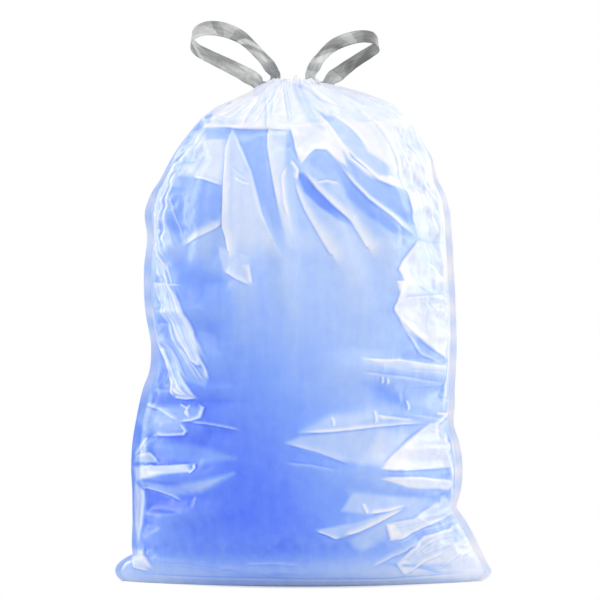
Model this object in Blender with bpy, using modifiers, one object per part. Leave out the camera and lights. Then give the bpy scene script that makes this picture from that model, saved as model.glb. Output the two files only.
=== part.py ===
"""Drawstring bin bag, filled, stood on its flat underside and drawn shut.

The film bag is one piece: a flattened base with two corners, a body with a seam fin down each
side, and a hem gathered into pleats under a small ruffled crown. Two draw tapes come up out of
the crown as hand loops, one to each side, with their ends tucked into slots in the gathered hem.

Metres, +Z up. The origin is on the floor, below the middle of the bag, and the front faces -Y.
"""

import math
from dataclasses import dataclass

import bmesh
import bpy
import numpy as np
from mathutils import Vector

# Film bag
BAG_HEIGHT = 0.744
BODY_WIDTH = 0.460
BODY_DEPTH = 0.292
BASE_WIDTH = 0.566
LEFT_CORNER_HEIGHT = 0.046
RIGHT_CORNER_HEIGHT = 0.112
CORNER_TIP_HEIGHT = 0.016
SEAM_FIN = 0.009
SEAM_FIN_FOOT = 0.004
SEAM_THICKNESS = 0.0016
HEM_DEPTH = 0.112
HEM_STEP = 0.0020
CORNER_SHARPNESS = 5
SEAM_BLEND = 0.15
SEAM_SWAY = 0.006
SEAM_SWAY_LENGTH = 0.190
SEAM_WRINKLE = 0.0045
SEAM_WRINKLE_LENGTH = 0.052

# Gathered mouth
CROWN_OFFSET = -0.016
CROWN_WIDTH = 0.078
CROWN_DEPTH = 0.056
CROWN_HEIGHT = 0.013
PUCKER_WIDTH = 0.022
PUCKER_DEPTH = 0.016
PLEATS = 19
PLEAT_HEIGHT = 0.0052
PLEAT_REACH = 0.160
FOLD_RELIEF = 0.75

# Draw tapes
TAPE_WIDTH = 0.026
TAPE_THICKNESS = 0.0008
TAPE_CRINKLE = 0.0008
CRINKLE_LENGTH = 0.020
CRINKLE_SLANT = 0.7
TUCKED_WIDTH = 0.015
TUCK_DEPTH = 0.018
UPPER_TUCK_LEAD = 0.003
LOWER_TUCK_LEAD = 0.008
TUCK_SPACING = 0.020
UPPER_TUCK_INSET = 0.013
LOWER_TUCK_DROP = 0.006
CLEARANCE = 0.0004

# Mesh density
FRONT_SEGMENTS = 56
REAR_SEGMENTS = 44
WALL_RINGS = 40
UNDERSIDE_SHARES = (0.25, 0.55, 0.82)
TAPE_STEPS = 44
TAPE_STRIPS = 2

# The outline without its corners, from the floor up to the gathered waist: height as a share of
# BAG_HEIGHT, reach to the left and to the right as shares of half BODY_WIDTH, and reach to the
# front and rear as a share of half BODY_DEPTH.
OUTLINE = (
    (0.000, 1.05, 0.97, 0.48),
    (0.010, 1.09, 1.01, 0.56),
    (0.040, 1.12, 1.03, 0.66),
    (0.080, 1.12, 1.02, 0.75),
    (0.149, 1.12, 1.00, 0.87),
    (0.215, 1.13, 1.04, 0.93),
    (0.262, 1.14, 1.03, 0.95),
    (0.376, 1.06, 1.00, 0.99),
    (0.440, 1.01, 1.00, 1.00),
    (0.569, 1.04, 0.99, 1.00),
    (0.730, 1.04, 0.96, 0.96),
    (0.794, 0.97, 0.90, 0.92),
    (0.859, 0.85, 0.83, 0.83),
    (0.891, 0.78, 0.77, 0.755),
    (0.923, 0.69, 0.71, 0.655),
    (0.948, 0.59, 0.635, 0.545),
    (0.967, 0.47, 0.53, 0.43),
    (0.982, 0.355, 0.385, 0.325),
)


@dataclass(frozen=True)
class Fold:
    """A ridge in the film, or a valley where its height is negative.

    Its ends are seen from the front: a share of half BODY_WIDTH across, and of BAG_HEIGHT up.
    """

    start: tuple
    end: tuple
    half_width: float
    height: float


FRONT_FOLDS = (
    Fold((-0.88, 0.79), (-0.91, 0.64), 0.026, 0.008),
    Fold((-0.89, 0.66), (-0.63, 0.42), 0.034, 0.015),
    Fold((-0.97, 0.55), (-0.72, 0.37), 0.030, 0.012),
    Fold((-1.00, 0.32), (-0.62, 0.31), 0.030, 0.011),
    Fold((-1.02, 0.22), (-0.52, 0.22), 0.030, 0.011),
    Fold((-1.03, 0.13), (-0.49, 0.17), 0.028, 0.008),
    Fold((0.06, 0.45), (0.89, 0.42), 0.034, 0.010),
    Fold((-0.07, 0.31), (0.88, 0.35), 0.034, 0.011),
    Fold((-0.14, 0.26), (0.43, 0.22), 0.030, 0.008),
    Fold((0.38, 0.24), (0.93, 0.20), 0.032, 0.013),
    Fold((0.20, 0.11), (0.90, 0.21), 0.032, 0.012),
    Fold((0.55, 0.05), (1.02, 0.13), 0.030, 0.010),
    Fold((-0.32, 0.90), (-0.39, 0.52), 0.034, 0.014),
    Fold((-0.21, 0.90), (-0.06, 0.52), 0.034, 0.013),
    Fold((0.03, 0.90), (0.38, 0.56), 0.036, 0.013),
    Fold((0.16, 0.92), (0.64, 0.62), 0.036, 0.014),
    Fold((0.38, 0.90), (0.82, 0.62), 0.034, 0.011),
    Fold((0.89, 0.60), (0.84, 0.37), 0.026, 0.008),
    Fold((-0.58, 0.86), (-0.72, 0.60), 0.032, 0.010),
)

REAR_FOLDS = (
    Fold((-0.58, 0.88), (-0.80, 0.52), 0.038, 0.014),
    Fold((-0.30, 0.91), (-0.46, 0.50), 0.038, 0.014),
    Fold((0.02, 0.92), (0.10, 0.56), 0.036, 0.013),
    Fold((0.30, 0.91), (0.52, 0.54), 0.038, 0.014),
    Fold((0.58, 0.87), (0.84, 0.60), 0.036, 0.012),
    Fold((0.90, 0.54), (0.58, 0.38), 0.036, 0.013),
    Fold((-0.97, 0.46), (-0.36, 0.37), 0.036, 0.012),
    Fold((-1.00, 0.27), (-0.30, 0.30), 0.034, 0.012),
    Fold((-0.94, 0.11), (-0.40, 0.18), 0.034, 0.011),
    Fold((0.10, 0.30), (0.92, 0.24), 0.036, 0.013),
    Fold((0.30, 0.09), (0.97, 0.16), 0.034, 0.012),
)

# Each free stretch runs from the upper tuck round to the lower one, and its upper strand is the
# one in front. Its points are measured from the crown's rim on the tape's side of the bag, and
# the tape's width lies along the normal.
LEFT_LOOP = (
    (0.010, -0.013, 0.008),
    (0.004, -0.018, 0.016),
    (-0.006, -0.025, 0.028),
    (-0.018, -0.030, 0.041),
    (-0.037, -0.034, 0.058),
    (-0.066, -0.032, 0.070),
    (-0.091, -0.022, 0.072),
    (-0.109, -0.007, 0.064),
    (-0.113, 0.010, 0.052),
    (-0.104, 0.025, 0.041),
    (-0.085, 0.034, 0.031),
    (-0.058, 0.037, 0.018),
    (-0.033, 0.033, 0.007),
    (-0.016, 0.020, -0.001),
)
LEFT_NORMAL = (0.05, 0.60, 0.80)
RIGHT_LOOP = (
    (-0.011, -0.013, 0.008),
    (-0.007, -0.016, 0.015),
    (-0.001, -0.020, 0.024),
    (0.008, -0.024, 0.035),
    (0.021, -0.029, 0.046),
    (0.041, -0.031, 0.055),
    (0.066, -0.026, 0.060),
    (0.083, -0.012, 0.057),
    (0.089, 0.004, 0.049),
    (0.080, 0.019, 0.040),
    (0.064, 0.028, 0.030),
    (0.046, 0.032, 0.019),
    (0.030, 0.027, 0.012),
    (0.018, 0.016, 0.008),
)
RIGHT_NORMAL = (-0.12, 0.68, 0.72)


def smooth_values(at, stations, values):
    """Rows of values at the given places, on a cubic curve through the stations."""
    slopes = np.gradient(values, stations, axis=0)
    low = np.clip(np.searchsorted(stations, at) - 1, 0, len(stations) - 2)
    span = (stations[low + 1] - stations[low])[:, None]
    u = (at - stations[low])[:, None] / span
    return (
        (2 * u**3 - 3 * u**2 + 1) * values[low]
        + (u**3 - 2 * u**2 + u) * span * slopes[low]
        + (3 * u**2 - 2 * u**3) * values[low + 1]
        + (u**3 - u**2) * span * slopes[low + 1]
    )


def arc_lengths(points):
    """Distance along a line of points, from its first one."""
    steps = np.linalg.norm(np.diff(points, axis=0), axis=1)
    return np.concatenate([[0.0], np.cumsum(steps)])


def ease(share):
    """0 to 1 with level ends."""
    share = np.clip(share, 0.0, 1.0)
    return share * share * (3 - 2 * share)


def round_the_bag():
    """Angles of one ring's points: the rear from the right seam to the left, then the front."""
    rear = np.linspace(0.0, math.pi, REAR_SEGMENTS, endpoint=False)
    front = np.linspace(math.pi, 2 * math.pi, FRONT_SEGMENTS, endpoint=False)
    return np.concatenate([rear, front])


def wall_stations():
    """Height, left, right and depth reach of each wall ring, and its distance from the waist."""
    unit = np.array((BAG_HEIGHT, BODY_WIDTH / 2, BODY_WIDTH / 2, BODY_DEPTH / 2))
    left, right = CROWN_WIDTH / 2 - CROWN_OFFSET, CROWN_WIDTH / 2 + CROWN_OFFSET
    rows = np.vstack([np.array(OUTLINE) * unit, (BAG_HEIGHT, left, right, CROWN_DEPTH / 2)])
    profile = np.stack([rows[:, 1:].mean(axis=1), rows[:, 0]], axis=1)
    along = arc_lengths(profile)
    share = np.linspace(0.0, 1.0, WALL_RINGS)
    at = along[-1] * (share - 0.04 * np.sin(2 * math.pi * share))
    hem = along[-1] - HEM_DEPTH
    at = np.sort(np.concatenate([at, [hem - HEM_STEP, hem + HEM_STEP]]))
    return smooth_values(at, along, rows), along[-1] - at


def corner_flare(height, body_reach, corner_height):
    """How much further a bottom corner reaches than the body does at one height."""
    reach = BASE_WIDTH / 2 - body_reach
    above = np.clip((height - CORNER_TIP_HEIGHT) / (corner_height - CORNER_TIP_HEIGHT), 0, 1)
    below = np.clip((CORNER_TIP_HEIGHT - height) / CORNER_TIP_HEIGHT, 0, 1)
    return max(reach, 0.0) * (1 - above) * (1 - 0.25 * below**2)


def uneven_wave(at):
    """Ridges and valleys from -1 to 1, about one to each unit, at uneven places."""
    return 2 / math.pi * np.arcsin(0.98 * np.sin(2 * math.pi * at + 1.4 * np.sin(1.7 * at)))


def seam_share(from_waist):
    """1 where the side seams stand out as fins, fading to 0 where the hem gathers them in."""
    return ease(from_waist / HEM_DEPTH - 1)


def seam_pinch(height, from_waist):
    """Where a section leaves its flat fins: a share of its reach to the front or rear."""
    foot = 1 - ease(height / RIGHT_CORNER_HEIGHT)
    width = SEAM_FIN + (SEAM_FIN_FOOT - SEAM_FIN) * foot
    fin = width / (BODY_WIDTH / 2) * seam_share(from_waist)
    return np.sqrt(1 - (1 - fin) ** 2)


def section(turns, height, left, right, depth, from_waist):
    """Points of one level section, pinched to a fin at each side seam."""
    across, through = np.cos(turns), np.sin(turns)
    lean = CROWN_OFFSET * ease(1 - from_waist / PLEAT_REACH)
    reach = np.where(across > 0, right - lean, left + lean)
    flare = np.where(
        across > 0,
        corner_flare(height, right, RIGHT_CORNER_HEIGHT),
        corner_flare(height, left, LEFT_CORNER_HEIGHT),
    )
    x = lean + across * reach + np.sign(across) * flare * np.abs(across) ** CORNER_SHARPNESS
    pinch = seam_pinch(height, from_waist)
    swell = np.clip((np.abs(through) - pinch) / (1 - pinch), 0, 1)
    edge = SEAM_THICKNESS / 2 * np.clip(np.abs(through) / 0.04, 0, 1)
    y = np.sign(through) * (edge + (depth - edge) * swell)
    upright = seam_share(from_waist) * ease(height / RIGHT_CORNER_HEIGHT)
    y += SEAM_SWAY * upright * uneven_wave(height / SEAM_SWAY_LENGTH + 0.3 * np.sign(across)) * across**4
    return np.stack([x, y, np.full_like(x, height)], axis=1)


def outward(rings):
    """Unit normals of a grid of rings."""
    round_way = np.roll(rings, -1, axis=1) - np.roll(rings, 1, axis=1)
    up_way = np.gradient(rings, axis=0)
    normals = np.cross(round_way, up_way)
    return normals / np.maximum(np.linalg.norm(normals, axis=2, keepdims=True), 1e-9)


def fold_heights(rings, folds):
    """Height of a set of folds at every point of the rings, seen from the front."""
    heights = np.zeros(rings.shape[:2])
    place = rings[..., [0, 2]]
    unit = np.array([BODY_WIDTH / 2, BAG_HEIGHT])
    for fold in folds:
        start, end = np.array(fold.start) * unit, np.array(fold.end) * unit
        line = end - start
        share = np.clip(((place - start) @ line) / (line @ line), 0, 1)
        away = np.linalg.norm(place - start - share[..., None] * line, axis=2)
        taper = ease(4 * share) * ease(4 * (1 - share)) * 0.7 + 0.3
        heights += FOLD_RELIEF * fold.height * taper * ease(1 - away / fold.half_width)
    return heights


def clear_of_seam(turns, height, from_waist, gathered):
    """0 on the side seams and 1 on the film clear of them, or 1 all round where it is gathered."""
    pinch = seam_pinch(height, from_waist)[:, None]
    clear = ease((np.abs(np.sin(turns)) - pinch) / SEAM_BLEND)
    return 1 - (1 - gathered**2) * (1 - clear)


def seam_wrinkles(turns, heights):
    """Short wrinkles that run in from the side seams, at every point of the wall."""
    near_seam = 1 - ease((np.abs(np.sin(turns)) - 0.45) / 0.4)
    side = np.sign(np.cos(turns)) + 0.5 * np.sign(np.sin(turns))
    wave = uneven_wave(heights[:, None] / SEAM_WRINKLE_LENGTH + 0.37 * side)
    return SEAM_WRINKLE * near_seam * wave


def pleat_wave(turns):
    """Ridges and valleys of the gathered mouth, uneven in width and height."""
    at = PLEATS * turns / (2 * math.pi)
    phase = 2 * math.pi * at + 1.3 * np.sin(2 * turns + 0.6) + 0.8 * np.sin(5 * turns)
    strength = 0.75 + 0.25 * np.sin(3 * turns + 1.0) * np.sin(7 * turns)
    return strength * 2 / math.pi * np.arcsin(0.98 * np.sin(phase))


def pressed_wall(turns):
    """The wall's rings from the floor to the waist, with their folds, hem and pleats."""
    stations, from_waist = wall_stations()
    rings = np.array([section(turns, *row, away) for row, away in zip(stations, from_waist)])
    front = np.sin(turns) < 0
    heights = np.where(front, fold_heights(rings, FRONT_FOLDS), fold_heights(rings, REAR_FOLDS))
    heights += seam_wrinkles(turns, stations[:, 0])
    gathered = ease(1 - from_waist / PLEAT_REACH)[:, None]
    heights = heights * (1 - gathered) + PLEAT_HEIGHT * gathered * pleat_wave(turns)
    heights += HEM_STEP * (from_waist < HEM_DEPTH)[:, None]
    heights *= clear_of_seam(turns, stations[:, 0], from_waist, gathered)
    heights *= ease(rings[..., 2] / (2 * CORNER_TIP_HEIGHT))
    return rings + outward(rings) * heights[..., None]


def oval(turns, width, depth, height, ruffle):
    """One ring of the crown or the pucker."""
    swing = 1 + ruffle * pleat_wave(turns)
    x = CROWN_OFFSET + width / 2 * swing * np.cos(turns)
    y = depth / 2 * swing * np.sin(turns)
    return np.stack([x, y, BAG_HEIGHT + height + 0.1 * ruffle * CROWN_HEIGHT * swing], axis=1)


def crown_rings(turns):
    """The ruffled lip above the waist, and the pucker that closes its middle."""
    rim = 0.5 * (CROWN_WIDTH + PUCKER_WIDTH)
    rim_depth = rim * CROWN_DEPTH / CROWN_WIDTH
    pucker_depth = PUCKER_WIDTH * CROWN_DEPTH / CROWN_WIDTH
    return np.array(
        [
            oval(turns, CROWN_WIDTH * 0.98, CROWN_DEPTH * 0.98, CROWN_HEIGHT * 0.55, 0.10),
            oval(turns, CROWN_WIDTH * 0.92, CROWN_DEPTH * 0.92, CROWN_HEIGHT, 0.10),
            oval(turns, rim, rim_depth, CROWN_HEIGHT, 0.08),
            oval(turns, PUCKER_WIDTH, pucker_depth, CROWN_HEIGHT - 0.3 * PUCKER_DEPTH, 0.05),
            oval(turns, PUCKER_WIDTH / 2, pucker_depth / 2, CROWN_HEIGHT - PUCKER_DEPTH, 0.0),
        ]
    )


def underside_rings(lowest):
    """Flat rings on the floor, growing from the middle to the wall's lowest ring."""
    return np.array([lowest * (share, share, 1.0) for share in UNDERSIDE_SHARES])


def loft(name, rings):
    """A closed mesh through level rings, with a fan of triangles at each end."""
    bm = bmesh.new()
    rows = [[bm.verts.new(point) for point in ring] for ring in rings]
    for lower, upper in zip(rows, rows[1:]):
        for i in range(len(lower)):
            after = (i + 1) % len(lower)
            bm.faces.new((lower[i], lower[after], upper[after], upper[i]))
    for row, order in ((rows[0], -1), (rows[-1], 1)):
        pole = bm.verts.new(sum((v.co for v in row), Vector()) / len(row))
        for i, v in enumerate(row):
            bm.faces.new((v, row[(i + 1) % len(row)], pole)[::order])
    mesh = bpy.data.meshes.new(name)
    bm.to_mesh(mesh)
    bm.free()
    return mesh


def smoothed_route(points):
    """Closely spaced points and unit directions along a tape."""
    points = np.array(points)
    along = arc_lengths(points)
    at = np.linspace(0.0, along[-1], TAPE_STEPS + 1)
    route = smooth_values(at, along, points)
    ways = np.gradient(route, axis=0)
    return route, ways / np.linalg.norm(ways, axis=1, keepdims=True), at


def crown_side(side):
    """The point at the height of the crown's rim where one side of the crown ends."""
    return np.array([CROWN_OFFSET + side * CROWN_WIDTH / 2, 0.0, BAG_HEIGHT + CROWN_HEIGHT])


def tucks(side):
    """Straight ends of one tape, from each slot's closed end out: the upper one rises out of the
    crown, and the lower one leaves it sideways, further back."""
    y = TUCK_SPACING / 2
    rises = np.linspace(-TUCK_DEPTH, UPPER_TUCK_LEAD, 5)
    leaves = np.linspace(-TUCK_DEPTH, LOWER_TUCK_LEAD, 5)
    upper = [(-side * UPPER_TUCK_INSET, -y, rise) for rise in rises]
    lower = [(side * leave, y, -LOWER_TUCK_DROP) for leave in leaves]
    return upper, lower


def crinkles(at, strips):
    """Height of a tape's shallow crinkles, at places along it and across it."""
    along, across = np.meshgrid(at, np.linspace(0, 1, strips + 1), indexing="ij")
    wave = uneven_wave(along / CRINKLE_LENGTH + CRINKLE_SLANT * across)
    return TAPE_CRINKLE * wave * np.cos(2 * across + along / TAPE_WIDTH)


def tape(name, loop, normal, side, material):
    """A draw tape: a flat strip along its route, narrowed where the hem gathers its ends."""
    upper, lower = tucks(side)
    points = crown_side(side) + np.array([*upper, *loop, *reversed(lower)])
    route, ways, at = smoothed_route(points)
    past_upper, past_lower = at - TUCK_DEPTH, at[-1] - at - TUCK_DEPTH
    free_upper = ease(past_upper / (1.6 * TAPE_WIDTH))[:, None]
    free_lower = ease(past_lower / (1.6 * TAPE_WIDTH))[:, None]
    across = free_upper * free_lower * np.array(normal)
    across += (1 - free_upper) * np.array([np.sign(normal[0]), 0.0, 0.0])
    across += (1 - free_lower) * np.array([0.0, 0.0, 1.0])
    across -= (across * ways).sum(axis=1, keepdims=True) * ways
    across /= np.linalg.norm(across, axis=1, keepdims=True)
    free = free_upper * free_lower
    width = TUCKED_WIDTH + (TAPE_WIDTH - TUCKED_WIDTH) * free
    rise = crinkles(at, TAPE_STRIPS) * free
    face = np.cross(ways, across)
    bm = bmesh.new()
    bmesh.ops.create_grid(bm, x_segments=TAPE_STEPS, y_segments=TAPE_STRIPS, size=0.5)
    for v in bm.verts:
        step = round((v.co.x + 0.5) * TAPE_STEPS)
        strip = round((v.co.y + 0.5) * TAPE_STRIPS)
        place = route[step] + across[step] * width[step] * v.co.y + face[step] * rise[step, strip]
        v.co = Vector(place)
    mesh = bpy.data.meshes.new(name)
    bm.to_mesh(mesh)
    bm.free()
    obj = bpy.data.objects.new(name, mesh)
    mesh.materials.append(material)
    mesh.shade_smooth()
    solid = obj.modifiers.new("thickness", "SOLIDIFY")
    solid.thickness = TAPE_THICKNESS
    solid.offset = 0.0
    return obj


def slot_cutter(name, side, low, high):
    """A box between two corners, measured from the crown's rim on one side."""
    low, high = np.sort([low, high], axis=0)
    bpy.ops.mesh.primitive_cube_add(size=1.0)
    cutter = bpy.context.object
    cutter.name = name
    cutter.dimensions = high - low
    cutter.location = (low + high) / 2 + crown_side(side)
    cutter.hide_render = True
    cutter.display_type = "WIRE"
    return cutter


def slot_cutters(side):
    """Cutters for one tape's two slots, wider than the tape by the clearance on every side."""
    half_slot = TAPE_THICKNESS / 2 + CLEARANCE
    half_width = TUCKED_WIDTH / 2 + CLEARANCE
    y, closed_end = TUCK_SPACING / 2, TUCK_DEPTH + CLEARANCE
    upper_x, lower_bottom = -side * UPPER_TUCK_INSET, -LOWER_TUCK_DROP - half_width - CLEARANCE
    return [
        slot_cutter(
            f"upper_slot_cutter_{side:+d}",
            side,
            (upper_x - half_width, -y - half_slot, -closed_end),
            (upper_x + half_width, -y + half_slot, TUCK_DEPTH),
        ),
        slot_cutter(
            f"lower_slot_cutter_{side:+d}",
            side,
            (-side * closed_end, y - half_slot, lower_bottom),
            (side * TUCK_DEPTH, y + half_slot, TUCK_DEPTH),
        ),
    ]


def plastic(name, color, roughness):
    """A Principled material with one colour."""
    material = bpy.data.materials.new(name)
    material.use_nodes = True
    shader = material.node_tree.nodes["Principled BSDF"]
    shader.inputs["Base Color"].default_value = (*color, 1.0)
    shader.inputs["Roughness"].default_value = roughness
    shader.inputs["Metallic"].default_value = 0.0
    return material


def move_to(obj, collection):
    """Leaves the object in one collection only."""
    for owner in list(obj.users_collection):
        owner.objects.unlink(obj)
    collection.objects.link(obj)


def main():
    """Builds the bag and its two tapes."""
    for obj in list(bpy.data.objects):
        bpy.data.objects.remove(obj)
    parts = bpy.data.collections.new("drawstring_bin_bag")
    cutters = bpy.data.collections.new("cutters")
    for collection in (parts, cutters):
        bpy.context.scene.collection.children.link(collection)

    film = plastic("blue_film", (0.42, 0.55, 1.0), 0.25)
    grey = plastic("grey_tape", (0.42, 0.43, 0.43), 0.35)

    turns = round_the_bag()
    wall = pressed_wall(turns)
    rings = np.concatenate([underside_rings(wall[0]), wall, crown_rings(turns)])
    bag = bpy.data.objects.new("film_bag", loft("film_bag", rings))
    bag.data.materials.append(film)
    bag.data.shade_smooth()
    parts.objects.link(bag)

    loops = (
        ("left_draw_tape", LEFT_LOOP, LEFT_NORMAL, -1),
        ("right_draw_tape", RIGHT_LOOP, RIGHT_NORMAL, 1),
    )
    for name, loop, normal, side in loops:
        parts.objects.link(tape(name, loop, normal, side, grey))
        for cutter in slot_cutters(side):
            move_to(cutter, cutters)
            cut = bag.modifiers.new("tape_slot", "BOOLEAN")
            cut.operation = "DIFFERENCE"
            cut.object = cutter


main()
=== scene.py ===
"""Looks of a drawstring bin bag: crumpled blue film, a gathered hem and two grey draw tapes.

The film bag is one fine mesh. Its sections follow the outline of the photographed bag, a cloth
simulation buckles it, and each fold that shows in the photograph is pressed into it. The film is
pale where it stands off what the bag holds, and blue where it lies against it; on top of that its
paleness carries painted highlights on pale patches, fold flanks, crests and ridges and along the
foot, and painted shade in grooves and valleys. The tapes' tones are painted highlight and shade.
"""

from __future__ import annotations

import logging
import math
from dataclasses import dataclass
from enum import Enum

import bmesh
import bpy
import numpy as np
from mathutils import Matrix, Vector

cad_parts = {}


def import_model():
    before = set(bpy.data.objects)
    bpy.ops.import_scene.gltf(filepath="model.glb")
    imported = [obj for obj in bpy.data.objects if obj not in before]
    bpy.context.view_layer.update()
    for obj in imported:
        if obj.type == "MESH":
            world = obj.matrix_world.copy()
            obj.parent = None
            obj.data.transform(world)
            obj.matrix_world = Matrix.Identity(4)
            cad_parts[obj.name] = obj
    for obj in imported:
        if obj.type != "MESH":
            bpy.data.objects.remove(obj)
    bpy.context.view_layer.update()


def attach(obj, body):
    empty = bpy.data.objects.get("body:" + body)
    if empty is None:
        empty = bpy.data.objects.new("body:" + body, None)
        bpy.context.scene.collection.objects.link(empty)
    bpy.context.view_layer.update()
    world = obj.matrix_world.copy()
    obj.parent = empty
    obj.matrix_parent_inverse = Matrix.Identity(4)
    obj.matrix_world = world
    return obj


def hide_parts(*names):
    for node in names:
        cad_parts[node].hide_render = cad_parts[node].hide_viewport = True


LOG = logging.getLogger("bin_bag")

# The photograph: its square frame, and the real length of one pixel at the side seams
FRAME_PIXELS = 600
PIXEL = 0.0015
SEAM_COLUMN = 303.5
FLOOR_ROW = 582.0

# Half the body's width at mid height, and the height of the gathered waist, in metres
HALF_WIDTH = 0.230
WAIST = 0.744


class Flank(Enum):
    """The side of a fold, as the photograph shows it, on which its long slope lies."""

    LEFT = (-1.0, 0.0)
    RIGHT = (1.0, 0.0)
    ABOVE = (0.0, -1.0)
    BELOW = (0.0, 1.0)


class Side(Enum):
    """The side of the bag that a tape or a seam is on."""

    LEFT = -1
    RIGHT = 1


def ease(share: np.ndarray | float) -> np.ndarray:
    """Turns 0 to 1 into 0 to 1 with level ends.

    Args:
        share: Where to look, held between 0 and 1.

    Returns:
        The eased share.
    """
    held = np.clip(share, 0.0, 1.0)
    return held * held * (3.0 - 2.0 * held)


def smooth_values(at: np.ndarray, stations: np.ndarray, values: np.ndarray) -> np.ndarray:
    """Reads a cubic curve through rows of values.

    Args:
        at: Places along the curve.
        stations: Places of the known rows.
        values: The known rows, one to each station.

    Returns:
        One row of values for each place.
    """
    slopes = np.gradient(values, stations, axis=0)
    low = np.clip(np.searchsorted(stations, at) - 1, 0, len(stations) - 2)
    span = (stations[low + 1] - stations[low])[:, None]
    u = (at - stations[low])[:, None] / span
    return (
        (2 * u**3 - 3 * u**2 + 1) * values[low]
        + (u**3 - 2 * u**2 + u) * span * slopes[low]
        + (3 * u**2 - 2 * u**3) * values[low + 1]
        + (u**3 - u**2) * span * slopes[low + 1]
    )


def arc_lengths(points: np.ndarray) -> np.ndarray:
    """Measures the distance along a line of points.

    Args:
        points: The line's points, in order.

    Returns:
        The distance of each point from the first one.
    """
    steps = np.linalg.norm(np.diff(points, axis=0), axis=1)
    return np.concatenate([[0.0], np.cumsum(steps)])


def unit(vectors: np.ndarray) -> np.ndarray:
    """Scales vectors on the last axis to a length of 1."""
    return vectors / np.maximum(np.linalg.norm(vectors, axis=-1, keepdims=True), 1e-9)


def ridged(phase: np.ndarray) -> np.ndarray:
    """A wave from -1 to 1 with straight slopes and barely rounded ridges."""
    return 2 / math.pi * np.arcsin(0.98 * np.sin(phase))


def uneven_wave(at: np.ndarray) -> np.ndarray:
    """Ridges and valleys from -1 to 1, about one to each unit, at uneven places."""
    return ridged(2 * math.pi * at + 1.4 * np.sin(1.7 * at))


def add_object(name: str, data: bpy.types.ID) -> bpy.types.Object:
    """Adds an object to the scene.

    Args:
        name: Its name.
        data: Its mesh, lamp or camera.

    Returns:
        The object.
    """
    added = bpy.data.objects.new(name, data)
    bpy.context.scene.collection.objects.link(added)
    return added


def store(mesh: bpy.types.Mesh, name: str, values: np.ndarray) -> None:
    """Stores a number or a vector on each point of a mesh.

    Args:
        mesh: The mesh.
        name: The attribute's name.
        values: The numbers, or the vectors as rows.
    """
    kind, label = ("FLOAT", "value") if values.ndim == 1 else ("FLOAT_VECTOR", "vector")
    attribute = mesh.attributes.new(name, kind, "POINT")
    attribute.data.foreach_set(label, values.astype(np.float32).ravel())


@dataclass(frozen=True)
class PhotoView:
    """The camera of the photograph, which looks a little down at the bag's front."""

    distance: float = 6.0
    elevation: float = math.radians(2.0)
    middle: tuple[float, float, float] = (
        (FRAME_PIXELS / 2 - SEAM_COLUMN) * PIXEL,
        0.0,
        (FLOOR_ROW - FRAME_PIXELS / 2) * PIXEL,
    )

    def axes(self) -> tuple[np.ndarray, np.ndarray, np.ndarray]:
        """Works out the camera's place and directions.

        Returns:
            The camera's place, the way it looks, and the way up in its picture.
        """
        back = np.array([0.0, -math.cos(self.elevation), math.sin(self.elevation)])
        up = np.array([0.0, math.sin(self.elevation), math.cos(self.elevation)])
        return np.array(self.middle) + self.distance * back, -back, up

    def pixels(self, points: np.ndarray) -> np.ndarray:
        """Finds where points show in the photograph.

        Args:
            points: Points in metres, on the last axis.

        Returns:
            A column and a row for each point.
        """
        place, forward, up = self.axes()
        away = points - place
        scale = self.distance / (away @ forward) / PIXEL
        column = FRAME_PIXELS / 2 + away[..., 0] * scale
        row = FRAME_PIXELS / 2 - (away @ up) * scale
        return np.stack([column, row], axis=-1)

    def place_camera(self) -> None:
        """Adds the scene's camera."""
        place, forward, _ = self.axes()
        camera = bpy.data.cameras.new("photo_camera")
        camera.sensor_width = camera.sensor_height = 36.0
        camera.angle = 2 * math.atan(FRAME_PIXELS * PIXEL / 2 / self.distance)
        holder = add_object("photo_camera", camera)
        holder.location = place
        holder.rotation_euler = Vector(forward).to_track_quat("-Z", "Y").to_euler()
        bpy.context.scene.camera = holder


class Value:
    """A number, colour or vector that varies, as the output of a node."""

    def __init__(self, tree: bpy.types.NodeTree, socket: bpy.types.NodeSocket) -> None:
        """Wraps one output socket of a tree."""
        self.tree = tree
        self.socket = socket

    def _math(self, operation: str, *operands: Value | float) -> Value:
        """Adds a Math node.

        Args:
            operation: The node's operation.
            operands: Its inputs, in order.

        Returns:
            The node's result.
        """
        node = self.tree.nodes.new("ShaderNodeMath")
        node.operation = operation
        for socket, operand in zip(node.inputs, operands):
            plug(self.tree, socket, operand)
        return Value(self.tree, node.outputs[0])

    def __add__(self, other: Value | float) -> Value:
        """Sum."""
        return self._math("ADD", self, other)

    def __radd__(self, other: float) -> Value:
        """Sum, number first."""
        return self._math("ADD", other, self)

    def __sub__(self, other: Value | float) -> Value:
        """Difference."""
        return self._math("SUBTRACT", self, other)

    def __rsub__(self, other: float) -> Value:
        """Difference, number first."""
        return self._math("SUBTRACT", other, self)

    def __mul__(self, other: Value | float) -> Value:
        """Product."""
        return self._math("MULTIPLY", self, other)

    def __rmul__(self, other: float) -> Value:
        """Product, number first."""
        return self._math("MULTIPLY", other, self)

    def __truediv__(self, other: Value | float) -> Value:
        """Quotient."""
        return self._math("DIVIDE", self, other)

    def __gt__(self, other: Value | float) -> Value:
        """1 where this is greater, and 0 elsewhere."""
        return self._math("GREATER_THAN", self, other)

    def zigzag(self, reach: float) -> Value:
        """Runs up to a height and back down again, over and over."""
        return self._math("PINGPONG", self, reach)

    def whole(self) -> Value:
        """The whole part."""
        return self._math("FLOOR", self)

    def rounded(self) -> Value:
        """The nearest whole number."""
        return self._math("ROUND", self)

    def parity(self) -> Value:
        """0 and 1 in turn, on each whole step."""
        return self.whole().zigzag(1.0)


def plug(tree: bpy.types.NodeTree, socket: bpy.types.NodeSocket, value: object) -> None:
    """Sets a socket to a value, or links it.

    Args:
        tree: The tree that holds the socket.
        socket: The input to feed.
        value: A Value to link, or a plain number, colour, vector, object or material.
    """
    if isinstance(value, Value):
        tree.links.new(value.socket, socket)
    else:
        socket.default_value = value


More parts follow.
